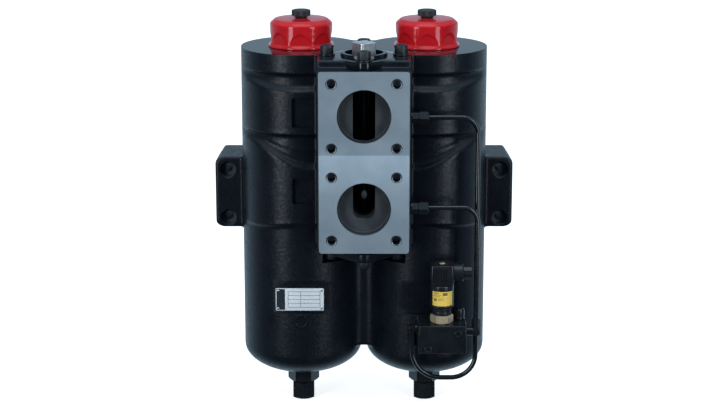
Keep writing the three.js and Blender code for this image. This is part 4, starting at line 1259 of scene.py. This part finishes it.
def connector():
    low, high = design_box("connector_hood")
    stem = node_middle("indicator_stem")
    at = (stem.x / MM, (stem.y - AXIS_Y) / MM)
    half = at[0] - low[0]
    bottom, top = low[2], high[2]
    outline = rounded_rectangle(at[0] - half, at[0] + half, at[1] - half, at[1] + half, 3.2, 6)
    hood = softened(extruded("hood", outline, bottom + 4.2, top), 0.9)
    skirt_half = half - 0.7
    outline = rounded_rectangle(at[0] - skirt_half, at[0] + skirt_half,
                                at[1] - skirt_half, at[1] + skirt_half, 3, 6)
    skirt = softened(extruded("skirt", outline, bottom, bottom + 5), 0.3, 2)
    axis_z = -265.5
    tower = lathe("tower", rounded([
        (0, at[0] + 8, 0), (11.3, at[0] + 8, 0), (11.3, high[0] - 1.2, 0), (10.6, high[0], 0.6),
        (0, high[0], 0),
    ]), (at[1], axis_z), 96, None, "x")
    hood = joined("connector", [hood, skirt, tower])
    face = at[1] - half
    cuts = [
        block("panel", (at[0] - 11.5, at[0] + 5.5), (face - 1, face + 1.1), (-273, -258.5)),
        cylinder("well", 4.0, top - 2.6, top + 1, at),
        cylinder("mouth", 4.0, at[0] + 6, high[0] + 1, (at[1], axis_z), "x"),
        block("notch", (at[0] - 2.2, at[0] + 2.2), (face - 1, face + 1.6), (bottom - 1, bottom + 2.4)),
    ]
    hood = boolean(hood, [combined("cuts", cuts)])
    hood = boolean(hood, [cylinder("screw_way", 2.4, bottom - 1, top + 1, at)])
    ribs = [block("rib", (at[0] + x - 0.7, at[0] + x + 0.7), (face + 0.15, face + 1.6), (-272.4, -259.1))
            for x in (-9.4, -6.2, -3.0, 0.2, 3.4)]
    latch = block("latch", (at[0] - 3.0, at[0] + 3.0), (face + 0.2, face + 1.5), (bottom + 2.9, bottom + 5.4))
    hood = joined("connector", [hood, combined("ribs", ribs), latch])
    piece(hood, "connector_body", SMOOTH_PLASTIC, "connector_hood", 30)

    low, high = design_box("connector_screw")
    rows = rounded([
        (0, low[2], 0), (1.9, low[2], 0.3), (1.9, -256.2, 0), (3.6, -256.2, 0.2), (3.6, high[2], 0.5),
        (0, high[2], 0),
    ])
    screw = lathe("connector_bolt", rows, at, 48)
    slot = block("slot", (at[0] - 4, at[0] + 4), (at[1] - 0.5, at[1] + 0.5), (high[2] - 1.1, high[2] + 1))
    piece(boolean(screw, [slot]), "connector_screw_body", NICKEL, "connector_screw")

    low, high = design_box("gland_nut")
    nut_made = nut("cable_gland", 9.0, low[0], high[0], (at[1], axis_z), "x", 0.0, 4.2, (0, 1), 12, 96)
    piece(nut_made, "gland_body", SMOOTH_PLASTIC, "gland_nut", 24)


# ---- sensing lines -------------------------------------------------------------------
def gauge_fitting(name, node, tube_node):
    """Straight fitting in the valve's side: threaded body, then the nut on the tube."""
    low, high = design_box(node)
    at = tube_start(tube_node)
    face, end = VALVE_HALF + 0.3, high[0]
    body = nut("body", 7.6, face, face + 9.5, at, "x", 0.0, 0.0, (1, 1))
    washer = cylinder("washer", 7.2, face, face + 1.4, at, "x")
    thread = cylinder("thread", 4.3, low[0], face + 2, at, "x", 32)
    collar = nut("collar", 8.8, face + 8.9, end - 0.6, at, "x", 0.0, 0.0, (1, 1))
    lip = lathe("lip", rounded([
        (0, end - 2, 0), (6.0, end - 2, 0), (6.0, end - 0.5, 0.3), (5.2, end, 0.3), (0, end, 0),
    ]), at, 48, None, "x")
    made = joined(name, [body, washer, thread, collar, lip])
    made = boolean(made, [cylinder("mouth", TUBE_R + 0.3, face + 13.5, end + 1, at, "x", 32)])
    piece(made, "root", BLACK_FITTING, node)


def block_elbow(name, node, up):
    low, high = design_box(node)
    y = (node_middle(node).y - AXIS_Y) / MM
    right = node.endswith("right")
    block_low, block_high = design_box("indicator_block")
    face = block_high[0] + 0.3 if right else block_low[0] - 0.3
    if right:
        x = design_box("sensing_tube_lower")[1][0] - TUBE_R
    else:
        x = design_box("sensing_tube_upper")[0][0] + TUBE_R
    tip = low[0] if right else high[0]
    arm_end = x - 4.6 if not right else x + 4.6
    arm = lathe("arm", rounded([
        (0, min(face, arm_end), 0), (5.6, min(face, arm_end), 0.8), (5.6, max(face, arm_end), 0.8),
        (0, max(face, arm_end), 0),
    ]), (y, ELBOW_Z), 48, None, "x")
    thread = cylinder("thread", 4.3, min(tip, face), max(tip, face), (y, ELBOW_Z), "x", 32)
    nut_low, nut_high = (ELBOW_Z - 5.2, high[2]) if up else (low[2], ELBOW_Z + 5.2)
    collar = nut("collar", 5.8, nut_low, nut_high, (x, y), "z", 0.4, 0.0, (1, 1))
    made = joined(name, [arm, thread, collar])
    mouth = (ELBOW_Z + 6, nut_high + 1) if up else (nut_low - 1, ELBOW_Z - 8)
    made = boolean(made, [cylinder("mouth", TUBE_R + 0.3, mouth[0], mouth[1], (x, y), "z", 32)])
    piece(made, "root", BLACK_FITTING, node)


def sensing_lines():
    low, high = design_box("sensing_tube_upper")
    y = (low[1] + high[1]) / 2
    run_x, top, bottom, left = high[0] - TUBE_R, high[2] - TUBE_R, low[2] + TUBE_R, low[0] + TUBE_R
    start, end = 73.0, -349.0
    corners = [(start, y, top), (run_x, y, top), (run_x, y, bottom), (left, y, bottom), (left, y, end)]
    route = rounded_route(corners, UPPER_BENDS)
    piece(tube("sensing_line_upper", route, TUBE_R, 24), "root", TUBE_PAINT,
          "sensing_tube_upper", 60)
    low, high = design_box("sensing_tube_lower")
    y = (low[1] + high[1]) / 2
    run_x, top = high[0] - TUBE_R, high[2] - TUBE_R
    corners = [(low[0], y, top), (run_x, y, top), (run_x, y, low[2])]
    route = rounded_route(corners, LOWER_BENDS)
    piece(tube("sensing_line_lower", route, TUBE_R, 24), "root", TUBE_PAINT,
          "sensing_tube_lower", 60)
    gauge_fitting("line_fitting_upper", "gauge_fitting_upper", "sensing_tube_upper")
    gauge_fitting("line_fitting_lower", "gauge_fitting_lower", "sensing_tube_lower")
    block_elbow("manifold_fitting_left", "block_elbow_left", False)
    block_elbow("manifold_fitting_right", "block_elbow_right", True)


valve_covers()
valve_screws()
rotor()
valve_bushes()
for side_name, side_sign in (("left", -1), ("right", 1)):
    chamber_fittings(side_name, side_sign)
nameplate()
indicator_block()
blanking_plug()
indicator()
connector()
sensing_lines()


# ---- studio --------------------------------------------------------------------------
def studio():
    scene = bpy.context.scene
    scene.view_settings.view_transform = "Standard"
    scene.view_settings.look = "None"

    world = bpy.data.worlds.new("studio")
    scene.world = world
    world.use_nodes = True
    tree = world.node_tree
    tree.nodes.clear()
    new, link = tree.nodes.new, tree.links.new
    out = new("ShaderNodeOutputWorld")
    coords = new("ShaderNodeTexCoord")
    split = new("ShaderNodeSeparateXYZ")
    link(coords.outputs["Generated"], split.inputs["Vector"])

    def ranged(value, low, high, to_low, to_high):
        node = new("ShaderNodeMapRange")
        node.interpolation_type = "SMOOTHSTEP"
        node.inputs["From Min"].default_value = low
        node.inputs["From Max"].default_value = high
        node.inputs["To Min"].default_value = to_low
        node.inputs["To Max"].default_value = to_high
        link(value, node.inputs["Value"])
        return node.outputs["Result"]

    def maths(operation, a, b):
        node = new("ShaderNodeMath")
        node.operation = operation
        for socket, value in zip(node.inputs, (a, b)):
            if isinstance(value, float):
                socket.default_value = value
            else:
                link(value, socket)
        return node.outputs["Value"]

    backdrop = ranged(split.outputs["Y"], -0.35, 0.75, FRONT_LIGHT, BACK_LIGHT)
    backdrop = maths("MULTIPLY", backdrop, ranged(split.outputs["Z"], -0.05, 0.2, 1.0, HIGH_BACK))
    ceiling = ranged(split.outputs["Z"], 0.35, 0.85, 0.0, TOP_LIGHT)
    light = new("ShaderNodeBackground")
    light.inputs["Color"].default_value = (*STUDIO_TINT, 1)
    link(maths("MAXIMUM", backdrop, ceiling), light.inputs["Strength"])
    seen = new("ShaderNodeBackground")
    seen.inputs["Color"].default_value = (1, 1, 1, 1)
    seen.inputs["Strength"].default_value = 1.0
    path = new("ShaderNodeLightPath")
    mix = new("ShaderNodeMixShader")
    link(path.outputs["Is Camera Ray"], mix.inputs["Fac"])
    link(light.outputs["Background"], mix.inputs[1])
    link(seen.outputs["Background"], mix.inputs[2])
    link(mix.outputs["Shader"], out.inputs["Surface"])

    middle = Vector((0, AXIS_Y + VALVE_Y * MM, 0.26))

    def soft_box(name, azimuth, height, distance, width, tall, watts, tint):
        a = math.radians(azimuth)
        lamp = bpy.data.lights.new(name, "AREA")
        lamp.shape = "RECTANGLE"
        lamp.size, lamp.size_y = width, tall
        lamp.energy = watts
        lamp.color = tint
        made = bpy.data.objects.new(name, lamp)
        made.location = middle + Vector((distance * math.sin(a), -distance * math.cos(a), height))
        made.rotation_euler = (middle - made.location).to_track_quat("-Z", "Y").to_euler()
        scene.collection.objects.link(made)

    for lamp in SOFT_BOXES:
        soft_box(*lamp)

    floor_mesh = bpy.data.meshes.new("floor")
    reach = 30.0
    floor_mesh.from_pydata(
        [(-reach, -reach, 0), (reach, -reach, 0), (reach, reach, 0), (-reach, reach, 0)], [], [(0, 1, 2, 3)])
    floor = bpy.data.objects.new("floor", floor_mesh)
    scene.collection.objects.link(floor)
    pale = surface("pale_floor", (0.86, 0.87, 0.88), (0.90, 0.90, 0.905), (0.7, 0.8), level=0.1,
                   coarse=(3, 0.0), fine=(9, 0.0), blotch=1.5)
    shader = next(n for n in pale.node_tree.nodes if n.type == "BSDF_PRINCIPLED")
    shader.inputs["Emission Color"].default_value = (1.0, 0.97, 0.94, 1)
    shader.inputs["Emission Strength"].default_value = FLOOR_GLOW
    floor_mesh.materials.append(pale)
    floor.visible_glossy = False
    floor.visible_diffuse = False

    camera = bpy.data.cameras.new("camera")
    camera.sensor_width = 36
    camera.lens = 98.41
    made = bpy.data.objects.new("camera", camera)
    made.location = (0, AXIS_Y - 2.450, TOP_Z + 0.4074)
    made.rotation_euler = (math.radians(76), 0, 0)
    scene.collection.objects.link(made)
    scene.camera = made


FLOOR_GLOW = 0.75
FRONT_LIGHT, BACK_LIGHT, TOP_LIGHT = 0.12, 0.95, 1.05
HIGH_BACK = 0.55
STUDIO_TINT = (0.58, 0.81, 1.0)
SOFT_BOXES = (
    ("key_left", -40, 0.35, 2.0, 0.55, 1.9, 24, (0.86, 0.94, 1.0)),
    ("key_right", 42, 0.35, 2.0, 0.55, 1.9, 20, (0.86, 0.94, 1.0)),
    ("overhead", 0, 2.1, 0.5, 1.6, 1.2, 10, (0.9, 0.96, 1.0)),
)
studio()
